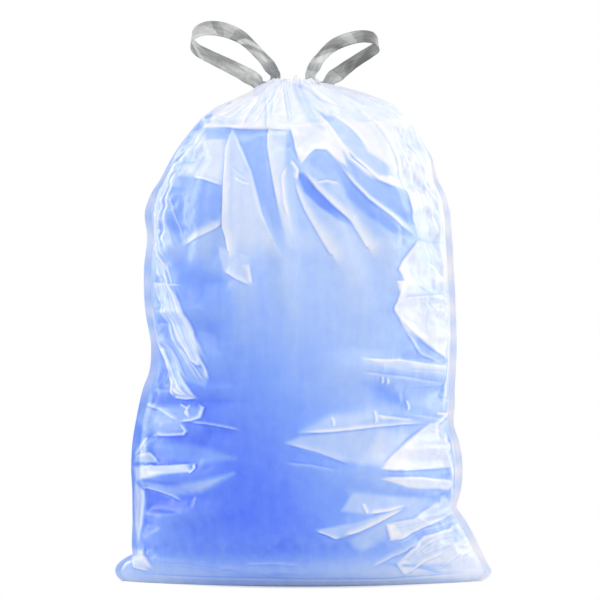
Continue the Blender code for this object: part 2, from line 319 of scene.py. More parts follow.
@dataclass
class Sketch:
    """A node tree in the making."""

    tree: bpy.types.NodeTree

    def node(
        self,
        kind: str,
        settings: dict[str, object] | None = None,
        values: dict[str | int, object] | None = None,
        output: str | int = 0,
    ) -> Value:
        """Adds a node.

        Args:
            kind: The node's type.
            settings: Attributes to set first, such as an operation, or a ramp's stops.
            values: Values or links for its inputs, by name or number.
            output: Which output to hand back.

        Returns:
            The chosen output.
        """
        node = self.tree.nodes.new(kind)
        for name, setting in (settings or {}).items():
            if name == "stops":
                self._stops(node.color_ramp, setting)
            else:
                setattr(node, name, setting)
        self.feed(node, values or {})
        return Value(self.tree, node.outputs[output])

    def feed(self, node: bpy.types.Node, values: dict[str | int, object]) -> None:
        """Sets or links some of a node's inputs, by name or number."""
        for name, value in values.items():
            plug(self.tree, node.inputs[name], value)

    def noise(self, place: Value, scale: float, detail: float, distortion: float = 0.0) -> Value:
        """Adds a noise around 0.5, with a scale of so many features to a unit of the place."""
        values = {"Vector": place, "Scale": scale, "Detail": detail, "Distortion": distortion}
        return self.node("ShaderNodeTexNoise", values=values, output="Fac")

    def stretched(self, place: Value, factors: tuple[float, float, float]) -> Value:
        """Multiplies a place by a factor on each axis."""
        return self.node("ShaderNodeMapping", values={"Vector": place, "Scale": factors})

    def bump(self, height: Value, distance: float, under: Value | None = None) -> Value:
        """Adds a bump, whose pattern stands out by a distance in metres from the one under it."""
        values = {"Strength": 1.0, "Distance": distance, "Height": height}
        return self.node("ShaderNodeBump", values=values | ({"Normal": under} if under else {}))

    @staticmethod
    def _stops(ramp: bpy.types.ColorRamp, stops: list[tuple[float, tuple]]) -> None:
        """Gives a ramp its stops.

        Args:
            ramp: The ramp, with the two stops it starts with.
            stops: A place from 0 to 1 and a colour for each stop.
        """
        while len(ramp.elements) < len(stops):
            ramp.elements.new(0.5)
        for element, (place, color) in zip(ramp.elements, stops):
            element.position = place
            element.color = (*color, 1.0)


def linear(red: int, green: int, blue: int) -> tuple[float, float, float]:
    """Turns a colour as it is seen, from 0 to 255, into the linear one that a shader takes."""
    return tuple(((c / 255 + 0.055) / 1.055) ** 2.4 for c in (red, green, blue))


def new_finish(name: str) -> tuple[bpy.types.Material, Sketch, bpy.types.Node]:
    """Starts a material.

    Args:
        name: Its name.

    Returns:
        The material, its tree in the making, and its Principled BSDF node.
    """
    material = bpy.data.materials.new(name)
    material.use_nodes = True
    return material, Sketch(material.node_tree), material.node_tree.nodes["Principled BSDF"]


@dataclass(frozen=True)
class FilmFinish:
    """Glossy translucent film: blue against what it holds and milky white off it, with painted highlights
    and shade laid into its paleness.

    The sizes of its patterns are how many of their features go to a metre.
    """

    # From deep blue to white; the pale end also carries painted highlights, and the dark end painted shade
    against: tuple[float, float, float] = linear(72, 112, 255)
    near: tuple[float, float, float] = linear(132, 170, 255)
    half: tuple[float, float, float] = linear(178, 205, 255)
    off: tuple[float, float, float] = linear(221, 231, 253)
    clear: tuple[float, float, float] = linear(248, 246, 251)
    roughness: float = 0.34
    gloss: float = 0.38
    crinkle: float = 0.0006
    crease: float = 0.0010
    clouds: float = 11.0
    flecks: float = 70.0
    streaks: float = 14.0
    ridges: float = 55.0
    grains: float = 420.0

    def material(self) -> bpy.types.Material:
        """Builds the finish.

        Returns:
            The material, which reads the film's own paleness attribute.
        """
        material, sketch, shader = new_finish("blue_film")
        place = sketch.node("ShaderNodeTexCoord", output="Object")
        # The paleness is partly the film's own and partly painted highlight and shade
        paleness = sketch.node("ShaderNodeAttribute", {"attribute_name": "paleness"}, output="Fac")
        cloud = sketch.noise(place, self.clouds, 3.0)
        fleck = sketch.noise(place, self.flecks, 4.0)
        streak = sketch.noise(sketch.stretched(place, (5.0, 5.0, 0.8)), self.streaks, 4.0)
        tone = paleness + (cloud - 0.5) * 0.16 + (fleck - 0.5) * 0.12 + (streak - 0.5) * 0.12
        stops = [
            (0.0, self.against),
            (0.33, self.near),
            (0.58, self.half),
            (0.82, self.off),
            (1.0, self.clear),
        ]
        color = sketch.node("ShaderNodeValToRGB", {"stops": stops}, {"Fac": tone})
        rough = self.roughness + (cloud - 0.5) * 0.10 + (fleck - 0.5) * 0.06
        ridge = sketch.noise(sketch.stretched(place, (1.0, 1.0, 0.45)), self.ridges, 5.0, 1.6)
        grain = sketch.noise(place, self.grains, 2.0)
        fine = sketch.bump(ridge + grain * 0.12, self.crinkle)
        broad = sketch.bump(cloud * 2.0, self.crease, fine)
        looks = {"Base Color": color, "Roughness": rough, "Normal": broad}
        sketch.feed(shader, {**looks, "Specular IOR Level": self.gloss})
        return material


@dataclass(frozen=True)
class TapeFinish:
    """Satin grey tape film, with painted highlight and shade: lighter or darker on each facet between its
    creases.
    """

    # One grey, from its painted shade through to its painted highlight
    dark: tuple[float, float, float] = linear(104, 106, 106)
    middle: tuple[float, float, float] = linear(160, 163, 162)
    light: tuple[float, float, float] = linear(214, 217, 215)
    roughness: float = 0.32
    fibre_height: float = 0.0002
    fibres: float = 240.0
    clouds: float = 45.0

    def material(self) -> bpy.types.Material:
        """Builds the finish.

        Returns:
            The material, which reads the tape's own tone attribute of painted highlight and shade.
        """
        material, sketch, shader = new_finish("grey_tape")
        place = sketch.node("ShaderNodeTexCoord", output="Object")
        tone = sketch.node("ShaderNodeAttribute", {"attribute_name": "tone"}, output="Fac")
        fibre = sketch.noise(sketch.stretched(place, (1.0, 1.0, 3.0)), self.fibres, 4.0)
        cloud = sketch.noise(place, self.clouds, 3.0)
        stops = [(0.0, self.dark), (0.5, self.middle), (1.0, self.light)]
        shade = tone + (fibre - 0.5) * 0.22 + (cloud - 0.5) * 0.25
        color = sketch.node("ShaderNodeValToRGB", {"stops": stops}, {"Fac": shade})
        rough = self.roughness + (cloud - 0.5) * 0.2
        bump = sketch.bump(fibre + cloud, self.fibre_height)
        sketch.feed(shader, {"Base Color": color, "Roughness": rough, "Normal": bump})
        return material


@dataclass(frozen=True)
class Fold:
    """A fold of the film, along a line that is given in the photograph.

    It is steep on one side of the line and slopes away on its flank, over a width in pixels that
    runs from start_width to end_width. Its height is in metres. Towards its ends it tapers over a
    share of its length, down to tip_width as a share of its width. Its paleness over the flank is
    partly the film's own and partly painted highlight and shade. A painted highlight runs along its
    crest, and painted shade along the groove beside it.
    """

    line: tuple[tuple[float, float], ...]
    flank: Flank
    start_width: float
    end_width: float
    height: float
    paleness: float
    steep: float = 2.2
    open_end: bool = False
    # The painted highlight along the crest, and the painted shade in the groove beside it
    painted_glint: float = 0.10
    strength: float = 0.9
    start_taper: float = 0.18
    end_taper: float = 0.22
    tip_width: float = 0.3
    # The painted highlight's width, and the place and strength of the painted shade beside it
    painted_glint_width: float = 0.8
    painted_shade_place: float = 0.9
    painted_shade_depth: float = 1.2
    veil_reach: float = 0.6

    def profile(self, pixels: np.ndarray) -> tuple[np.ndarray, np.ndarray, np.ndarray]:
        """Works out the fold over the film.

        Args:
            pixels: The column and row of each point of the film.

        Returns:
            Its relief, from 0 to 1, how far its paleness replaces the film's, and the painted highlight
            on its crest and painted shade in the groove beside it.
        """
        points = np.array(self.line)
        along = arc_lengths(points)
        nearest = np.full(pixels.shape[:-1], np.inf)
        signed = np.zeros_like(nearest)
        share = np.zeros_like(nearest)
        for start, end, reached in zip(points, points[1:], along):
            way = end - start
            length = float(np.linalg.norm(way))
            across = np.array([way[1], -way[0]]) / length
            across *= math.copysign(1.0, float(across @ np.array(self.flank.value)) or 1.0)
            offset = pixels - start
            step = np.clip((offset @ way) / length**2, 0.0, 1.0)
            gap = offset - step[..., None] * way
            away = np.linalg.norm(gap, axis=-1)
            closer = away < nearest
            nearest = np.where(closer, away, nearest)
            signed = np.where(closer, np.copysign(away, gap @ across), signed)
            share = np.where(closer, (reached + step * length) / along[-1], share)
        far_tip = 1.0 if self.open_end else ease((1 - share) / self.end_taper)
        tips = ease(share / self.start_taper) * far_tip
        slim = self.tip_width + (1 - self.tip_width) * tips
        width = (self.start_width + (self.end_width - self.start_width) * share) * slim
        flank = np.clip(1 - signed / width, 0, 1)
        steep = ease(1 + signed / (self.steep * slim))
        relief = np.where(signed > 0, flank, steep) * tips
        veil = tips * np.where(signed > 0, ease(flank), ease(1 + signed / (self.veil_reach * self.steep)))
        # Painted highlight along the crest, and painted shade in the groove beside it
        crest = self.painted_glint * np.exp(-((signed / self.painted_glint_width) ** 2))
        beside = (signed + self.painted_shade_place * self.steep) / self.painted_glint_width
        groove = self.painted_shade_depth * self.painted_glint * np.exp(-(beside**2))
        return relief, self.strength * veil, (crest - groove) * tips


@dataclass(frozen=True)
class Panel:
    """A stretch of film between folds, with corners given in the photograph.

    Its edge is as soft as the given number of pixels, and its lift is in metres.
    """

    corners: tuple[tuple[float, float], ...]
    softness: float
    paleness: float
    strength: float = 0.85
    lift: float = 0.0
    fade_rows: tuple[float, float] = (900.0, 901.0)

    def cover(self, pixels: np.ndarray) -> np.ndarray:
        """Works out how far the panel covers the film.

        Args:
            pixels: The column and row of each point of the film.

        Returns:
            1 inside the panel, 0 outside it, and a soft edge between.
        """
        corners = np.array(self.corners)
        inside = np.zeros(pixels.shape[:-1], dtype=bool)
        nearest = np.full(pixels.shape[:-1], np.inf)
        for start, end in zip(corners, np.roll(corners, -1, axis=0)):
            way = end - start
            offset = pixels - start
            step = np.clip((offset @ way) / (way @ way), 0.0, 1.0)
            nearest = np.minimum(nearest, np.linalg.norm(offset - step[..., None] * way, axis=-1))
            crosses = (start[1] > pixels[..., 1]) != (end[1] > pixels[..., 1])
            rise = way[1] if way[1] else 1e-9
            inside ^= crosses & (offset[..., 0] < way[0] * offset[..., 1] / rise)
        first, last = self.fade_rows
        fade = 1 - ease((pixels[..., 1] - first) / (last - first))
        return ease(np.where(inside, nearest, -nearest) / self.softness + 0.5) * fade


@dataclass(frozen=True)
class Bundle:
    """Thin folds side by side, between two lines that are given in the photograph."""

    first: tuple[tuple[float, float], ...]
    last: tuple[tuple[float, float], ...]
    count: int
    flank: Flank
    width: float
    height: float
    paleness: float
    uneven: float = 0.35
    widening: float = 1.4
    tone_sway: float = 0.12
    steep: float = 1.5
    # The painted highlight on each fold's crest, with painted shade in the groove beside it
    painted_glint: float = 0.11
    strength: float = 0.6

    def folds(self) -> list[Fold]:
        """Spreads the folds unevenly from the first line to the last.

        Returns:
            The folds, each a little wider or narrower than the bundle's own width.
        """
        first, last = np.array(self.first), np.array(self.last)
        folds = []
        for number in range(self.count):
            share = (number + self.uneven * math.sin(2.4 * number)) / max(self.count - 1, 1)
            line = first + (last - first) * min(max(share, 0.0), 1.0)
            swing = 1 + self.uneven * math.sin(3.7 * number + 1.0)
            folds.append(
                Fold(
                    tuple(tuple(point) for point in line),
                    self.flank,
                    self.width * swing,
                    self.widening * self.width * swing,
                    self.height * swing,
                    self.paleness + self.tone_sway * math.sin(5.1 * number),
                    self.steep,
                    painted_glint=self.painted_glint,
                    strength=self.strength,
                )
            )
        return folds


@dataclass(frozen=True)
class Swell:
    """A broad ridge of the film, which the solid model has too.

    Its ends are seen from the front: a share of half the body's width across, and of the waist's
    height up.
    """

    start: tuple[float, float]
    end: tuple[float, float]
    half_width: float
    height: float

    def cover(self, rings: np.ndarray) -> np.ndarray:
        """Works out the ridge over the film.

        Args:
            rings: The film's points.

        Returns:
            Its relief, from 0 to 1.
        """
        whole = np.array([HALF_WIDTH, WAIST])
        start, end = np.array(self.start) * whole, np.array(self.end) * whole
        line = end - start
        place = rings[..., [0, 2]]
        share = np.clip(((place - start) @ line) / (line @ line), 0, 1)
        away = np.linalg.norm(place - start - share[..., None] * line, axis=-1)
        taper = ease(4 * share) * ease(4 * (1 - share)) * 0.7 + 0.3
        return taper * ease(1 - away / self.half_width)


@dataclass(frozen=True)
class Zone:
    """A box of the photograph in which the film is crumpled in short shallow folds.

    Their angle is in degrees from level, clockwise as seen.
    """

    low: tuple[float, float]
    high: tuple[float, float]
    count: int
    angle: float
    spread: float = 25.0
    length: tuple[float, float] = (8.0, 24.0)
    width: float = 1.0
    height: float = 0.0014
    paleness: tuple[float, float] = (0.55, 0.95)


FRONT_SWELLS = (
    Swell((-0.88, 0.79), (-0.91, 0.64), 0.026, 0.008),
    Swell((-0.89, 0.66), (-0.63, 0.42), 0.034, 0.015),
    Swell((-0.97, 0.55), (-0.72, 0.37), 0.03, 0.012),
    Swell((-1.00, 0.32), (-0.62, 0.31), 0.03, 0.011),
    Swell((-1.02, 0.22), (-0.52, 0.22), 0.03, 0.011),
    Swell((-1.03, 0.13), (-0.49, 0.17), 0.028, 0.008),
    Swell((0.06, 0.45), (0.89, 0.42), 0.034, 0.01),
    Swell((-0.07, 0.31), (0.88, 0.35), 0.034, 0.011),
    Swell((-0.14, 0.26), (0.43, 0.22), 0.03, 0.008),
    Swell((0.38, 0.24), (0.93, 0.2), 0.032, 0.013),
    Swell((0.2, 0.11), (0.9, 0.21), 0.032, 0.012),
    Swell((0.55, 0.05), (1.02, 0.13), 0.03, 0.01),
    Swell((-0.32, 0.9), (-0.39, 0.52), 0.034, 0.014),
    Swell((-0.21, 0.9), (-0.06, 0.52), 0.034, 0.013),
    Swell((0.03, 0.9), (0.38, 0.56), 0.036, 0.013),
    Swell((0.16, 0.92), (0.64, 0.62), 0.036, 0.014),
    Swell((0.38, 0.9), (0.82, 0.62), 0.034, 0.011),
    Swell((0.89, 0.6), (0.84, 0.37), 0.026, 0.008),
    Swell((-0.58, 0.86), (-0.72, 0.6), 0.032, 0.01),
)

REAR_SWELLS = (
    Swell((-0.58, 0.88), (-0.8, 0.52), 0.038, 0.014),
    Swell((-0.3, 0.91), (-0.46, 0.5), 0.038, 0.014),
    Swell((0.02, 0.92), (0.1, 0.56), 0.036, 0.013),
    Swell((0.3, 0.91), (0.52, 0.54), 0.038, 0.014),
    Swell((0.58, 0.87), (0.84, 0.6), 0.036, 0.012),
    Swell((0.9, 0.54), (0.58, 0.38), 0.036, 0.013),
    Swell((-0.97, 0.46), (-0.36, 0.37), 0.036, 0.012),
    Swell((-1.00, 0.27), (-0.3, 0.3), 0.034, 0.012),
    Swell((-0.94, 0.11), (-0.4, 0.18), 0.034, 0.011),
    Swell((0.1, 0.3), (0.92, 0.24), 0.036, 0.013),
    Swell((0.3, 0.09), (0.97, 0.16), 0.034, 0.012),
)

# Where the front is crumpled: down both sides, over the right of its foot, and round the neck
FRONT_ZONES = (
    Zone((150, 150), (168, 280), 8, 78, 8, (24, 60), 0.8, 0.001, (0.65, 0.85)),
    Zone((375, 345), (440, 420), 5, 4, 6, (30, 60), 0.9, 0.001, (0.55, 0.85)),
    Zone((432, 424), (448, 456), 9, 20, 50, (5, 14), 0.8, 0.0012, (0.7, 0.98)),
    Zone((468, 530), (486, 562), 6, 40, 60, (5, 14), 0.8, 0.0012, (0.75, 0.98)),
    Zone((360, 520), (440, 560), 6, -26, 6, (24, 70), 0.9, 0.001, (0.6, 0.9)),
    Zone((410, 250), (445, 340), 10, 30, 30, (8, 30), 0.9, 0.001, (0.75, 0.98)),
    Zone((425, 170), (452, 330), 14, 75, 16, (16, 50), 0.8, 0.001, (0.8, 0.97)),
    Zone((405, 535), (470, 572), 8, -30, 10, (20, 60), 0.9, 0.0012, (0.7, 0.98)),
    Zone((200, 108), (232, 128), 12, -25, 40, (6, 20), 0.8, 0.001, (0.6, 0.98)),
    Zone((120, 560), (440, 578), 10, 2, 4, (20, 80), 0.8, 0.001, (0.3, 0.6)),
)


# The rear, which the photograph doesn't show, is taken to have long folds that fan out of the
# neck, and crumples down its sides and along its foot
REAR_ZONES = (
    Zone((225, 130), (290, 190), 7, 112, 8, (70, 160), 2.6, 0.0045, (0.55, 0.95)),
    Zone((280, 130), (340, 190), 7, 85, 10, (70, 170), 2.6, 0.0045, (0.55, 0.95)),
    Zone((330, 130), (380, 180), 7, 55, 10, (60, 140), 2.6, 0.0045, (0.55, 0.95)),
    Zone((180, 250), (420, 420), 9, 60, 40, (50, 110), 2.2, 0.0034, (0.35, 0.75)),
    Zone((145, 380), (230, 540), 14, 10, 20, (20, 70), 1.6, 0.003),
    Zone((370, 330), (450, 540), 14, -12, 20, (20, 80), 1.6, 0.003),
    Zone((147, 150), (180, 360), 22, 80),
    Zone((425, 170), (452, 360), 18, 80),
    Zone((130, 545), (470, 578), 18, 5, 15, (8, 40), 0.9, 0.0014, (0.3, 0.7)),
    Zone((225, 92), (385, 128), 24, 80, 35, (6, 20), 0.7, 0.0012, (0.8, 1.0)),
)

# Stretches of the bag's front, from the neck down; their paleness is partly the film's own and partly
# painted highlight
PANELS = (
    Panel(((258, 78), (320, 78), (356, 88), (400, 104), (428, 145), (446, 190), (449, 244), (421, 240),
        (415, 220), (405, 193), (397, 190), (375, 181), (362, 169), (348, 158), (341, 155),
        (345, 170), (337, 165), (326, 153), (314, 152), (301, 166), (296, 140), (291, 132),
        (260, 131), (233, 129), (200, 129), (205, 112), (240, 97)), 3, 0.95),
    Panel(((289, 78), (298, 78), (306, 95), (315, 112), (324, 135), (312, 128), (300, 105)), 6, 0.68,
        0.8),
    Panel(((314, 107), (330, 116), (346, 128), (358, 141), (366, 155), (388, 170), (394, 180),
        (376, 178), (356, 163), (342, 148), (328, 126)), 4, 0.56, 0.9),
    Panel(((350, 102), (362, 112), (384, 146), (397, 180), (388, 172), (372, 138)), 8, 0.78, 0.8),
    Panel(((262, 94), (268, 92), (274, 110), (272, 131), (262, 131), (264, 112)), 5, 0.78, 0.8),
    Panel(((180, 175), (177, 158), (188, 140), (206, 134), (226, 140), (228, 152), (223, 184)), 12,
        0.78, 0.9),
    Panel(((206, 131), (233, 131), (231, 141), (208, 142)), 4, 0.46, 0.8),
    Panel(((204, 125), (206, 115), (213, 112), (213, 123)), 3, 0.44, 0.8),
    Panel(((233, 133), (291, 134), (297, 150), (290, 170), (262, 165), (238, 153)), 6, 0.5, 0.7),
    Panel(((233, 129), (240, 148), (253, 175), (262, 215), (272, 238), (284, 260), (252, 266),
        (229, 251), (224, 229), (225, 186), (228, 149)), 3, 0.7, 0.9, 0.002, (236, 268)),
    Panel(((217, 248), (232, 252), (250, 258), (253, 285), (236, 278), (222, 271)), 4, 0.66, 0.85,
        0.001),
    Panel(((240, 146), (264, 140), (272, 181), (282, 216), (300, 270), (283, 256), (260, 200)), 8, 0.38,
        0.9, -0.001, (215, 268)),
    Panel(((176, 178), (192, 178), (223, 187), (223, 212), (216, 224), (178, 244), (167, 225),
        (167, 195)), 4, 0.35, 0.95),
    Panel(((269, 132), (287, 134), (285, 170), (290, 215), (296, 250), (288, 250), (279, 205),
        (273, 170)), 5, 0.76, 0.85, 0.001, (225, 262)),
    Panel(((290, 232), (320, 232), (350, 236), (380, 240), (404, 238), (404, 256), (360, 258),
        (300, 262)), 12, 0.62, 0.7, 0.0, (242, 264)),
    Panel(((306, 166), (313, 155), (325, 155), (338, 168), (355, 190), (368, 203), (404, 230),
        (410, 240), (392, 240), (370, 238), (350, 226), (330, 206), (312, 186)), 5, 0.55, 0.95, 0.0,
        (234, 256)),
    Panel(((335, 175), (345, 177), (358, 190), (376, 211), (404, 236), (390, 236), (366, 219),
        (346, 200)), 6, 0.34, 0.95, -0.001, (228, 250)),
    Panel(((307, 165), (314, 155), (327, 157), (345, 172), (354, 185), (338, 184), (322, 178)), 6, 0.44,
        0.9),
    Panel(((297, 176), (303, 176), (316, 192), (330, 206), (347, 220), (352, 228), (336, 222),
        (318, 208), (304, 194)), 4, 0.18, 0.95, -0.001, (208, 238)),
    Panel(((341, 156), (349, 159), (362, 170), (375, 182), (397, 192), (405, 196), (411, 210),
        (416, 226), (407, 226), (390, 217), (372, 205), (355, 187), (345, 167)), 5, 0.42, 0.95,
        -0.001),
    Panel(((380, 240), (421, 240), (402, 264), (398, 280), (385, 270)), 18, 0.62, 0.6),
    Panel(((421, 241), (449, 244), (450, 330), (447, 360), (428, 342), (408, 330), (398, 310),
        (401, 297), (397, 283), (405, 281), (400, 270), (405, 262)), 3, 0.96, 0.9, 0.001),
    Panel(((410, 286), (446, 286), (447, 295), (406, 299)), 6, 0.76, 0.8),
    Panel(((424, 250), (440, 254), (446, 266), (436, 276), (428, 268)), 7, 0.8, 0.8),
    Panel(((362, 358), (402, 358), (446, 364), (446, 376), (400, 370)), 7, 0.84, 0.85),
    Panel(((362, 381), (385, 384), (411, 400), (405, 407), (380, 400)), 12, 0.36, 0.8),
    Panel(((402, 386), (446, 386), (446, 412), (420, 406)), 12, 0.66, 0.8),
    Panel(((330, 415), (376, 410), (436, 412), (436, 421), (382, 424), (331, 429), (300, 431)), 9, 0.66,
        0.75),
    Panel(((286, 442), (300, 436), (344, 431), (400, 427), (434, 424), (380, 466), (358, 463),
        (330, 456), (304, 449)), 6, 0.62, 0.85),
    Panel(((380, 430), (434, 425), (384, 462), (366, 458)), 12, 0.74, 0.8),
    Panel(((434, 423), (444, 424), (452, 468), (379, 468)), 2, 0.96, 0.95, 0.002),
    Panel(((360, 469), (454, 469), (454, 475), (380, 476)), 4, 0.44, 0.85),
    Panel(((379, 477), (420, 477), (449, 480), (454, 484), (449, 489), (408, 486)), 3, 0.95, 0.95,
        0.001),
    Panel(((345, 488), (400, 489), (445, 494), (440, 500), (400, 497), (350, 497)), 7, 0.42, 0.8),
    Panel(((341, 510), (353, 492), (440, 499), (440, 516), (400, 505), (366, 512)), 5, 0.62, 0.85),
    Panel(((344, 516), (366, 513), (403, 505), (398, 510), (370, 519), (350, 527)), 4, 0.34, 0.85),
    Panel(((316, 530), (346, 523), (378, 512), (404, 504), (372, 522), (341, 539)), 4, 0.6, 0.85),
    Panel(((350, 540), (395, 512), (445, 499), (440, 510), (386, 523), (388, 536), (362, 552)), 9, 0.6,
        0.85),
    Panel(((385, 523), (413, 519), (447, 499), (455, 508), (457, 512), (449, 515), (423, 527),
        (393, 541), (390, 540)), 6, 0.8, 0.9, 0.001),
    Panel(((385, 523), (392, 523), (400, 534), (391, 541)), 3, 0.98, 0.95, 0.001),
    Panel(((440, 552), (470, 533), (476, 540), (486, 555), (492, 573), (470, 578), (406, 577),
        (424, 562)), 5, 0.9, 0.85),
    Panel(((397, 563), (423, 537), (449, 530), (465, 520), (470, 533), (440, 552), (424, 562),
        (406, 574)), 6, 0.8, 0.9, 0.001),
    Panel(((397, 563), (404, 559), (414, 566), (406, 574)), 3, 0.98, 0.95, 0.001),
    Panel(((452, 424), (461, 458), (459, 492), (457, 512), (470, 520), (480, 545), (490, 570),
        (452, 530), (451, 480)), 6, 0.8, 0.7),
    Panel(((134, 549), (143, 551), (152, 569), (134, 566)), 3, 0.85, 0.8, 0.003),
    Panel(((146, 205), (153, 198), (158, 241), (167, 276), (160, 282), (150, 262), (144, 235)), 5, 0.72,
        0.8),
    Panel(((153, 284), (168, 281), (181, 303), (193, 331), (198, 345), (200, 362), (193, 366),
        (176, 345), (163, 314)), 4, 0.76, 0.85, 0.001),
    Panel(((156, 332), (176, 345), (193, 366), (206, 370), (202, 386), (185, 381), (169, 378)), 5, 0.58,
        0.8),
    Panel(((166, 374), (178, 370), (187, 387), (193, 398), (176, 399), (170, 395)), 4, 0.64, 0.85),
    Panel(((144, 402), (175, 405), (198, 408), (197, 418), (177, 421), (160, 414)), 5, 0.58, 0.7),
    Panel(((142, 405), (138, 420), (145, 434), (184, 431), (178, 420), (160, 412)), 5, 0.56, 0.85),
    Panel(((146, 440), (138, 448), (134, 462), (150, 462), (146, 452)), 3, 0.8, 0.8),
    Panel(((148, 440), (190, 444), (236, 458), (200, 463), (150, 458)), 9, 0.5, 0.6),
    Panel(((134, 467), (184, 464), (192, 470), (160, 475), (136, 481)), 4, 0.85, 0.9, 0.002),
    Panel(((138, 481), (165, 487), (196, 481), (234, 473), (200, 492), (165, 498)), 8, 0.62, 0.75,
        0.001),
    Panel(((135, 482), (144, 492), (142, 523), (137, 544), (134, 504)), 3, 0.84, 0.9, 0.001),
    Panel(((170, 262), (235, 280), (240, 330), (210, 350), (182, 300)), 24, 0.3, 0.5),
)

LEFT, RIGHT, ABOVE, BELOW = Flank

# Bundles of thin folds: down the left side, into the neck, and along the right side
BUNDLES = (
    Bundle(((203, 126), (172, 158), (152, 190), (147, 214), (150, 238)), ((214, 124), (182, 158),
        (166, 190), (160, 216), (164, 246)), 7, LEFT, 1.6, 0.0012, 0.8),
    Bundle(((153, 284), (163, 314), (176, 345), (192, 366)), ((168, 281), (181, 303), (193, 331),
        (200, 360)), 5, LEFT, 1.6, 0.0012, 0.84),
    Bundle(((158, 336), (166, 356), (175, 380)), ((178, 346), (192, 366), (202, 382)), 5, LEFT, 1.6,
        0.0012, 0.8),
    Bundle(((262, 92), (244, 106), (226, 122)), ((272, 94), (262, 110), (254, 126)), 4, LEFT, 1.8,
        0.0009, 0.86),
    Bundle(((276, 88), (274, 102), (272, 118)), ((290, 86), (294, 100), (298, 116)), 3, RIGHT, 2.2,
        0.0011, 0.86),
    Bundle(((428, 180), (434, 212), (440, 238)), ((442, 196), (447, 220), (449, 242)), 5, LEFT, 1.5,
        0.0008, 0.9),
    Bundle(((454, 430), (459, 460), (458, 500)), ((446, 430), (453, 462), (452, 505)), 4, RIGHT, 1.5,
        0.0009, 0.86),
    Bundle(((462, 520), (472, 541), (482, 566)), ((474, 532), (484, 550), (489, 570)), 4, LEFT, 1.6,
        0.0009, 0.88),
)


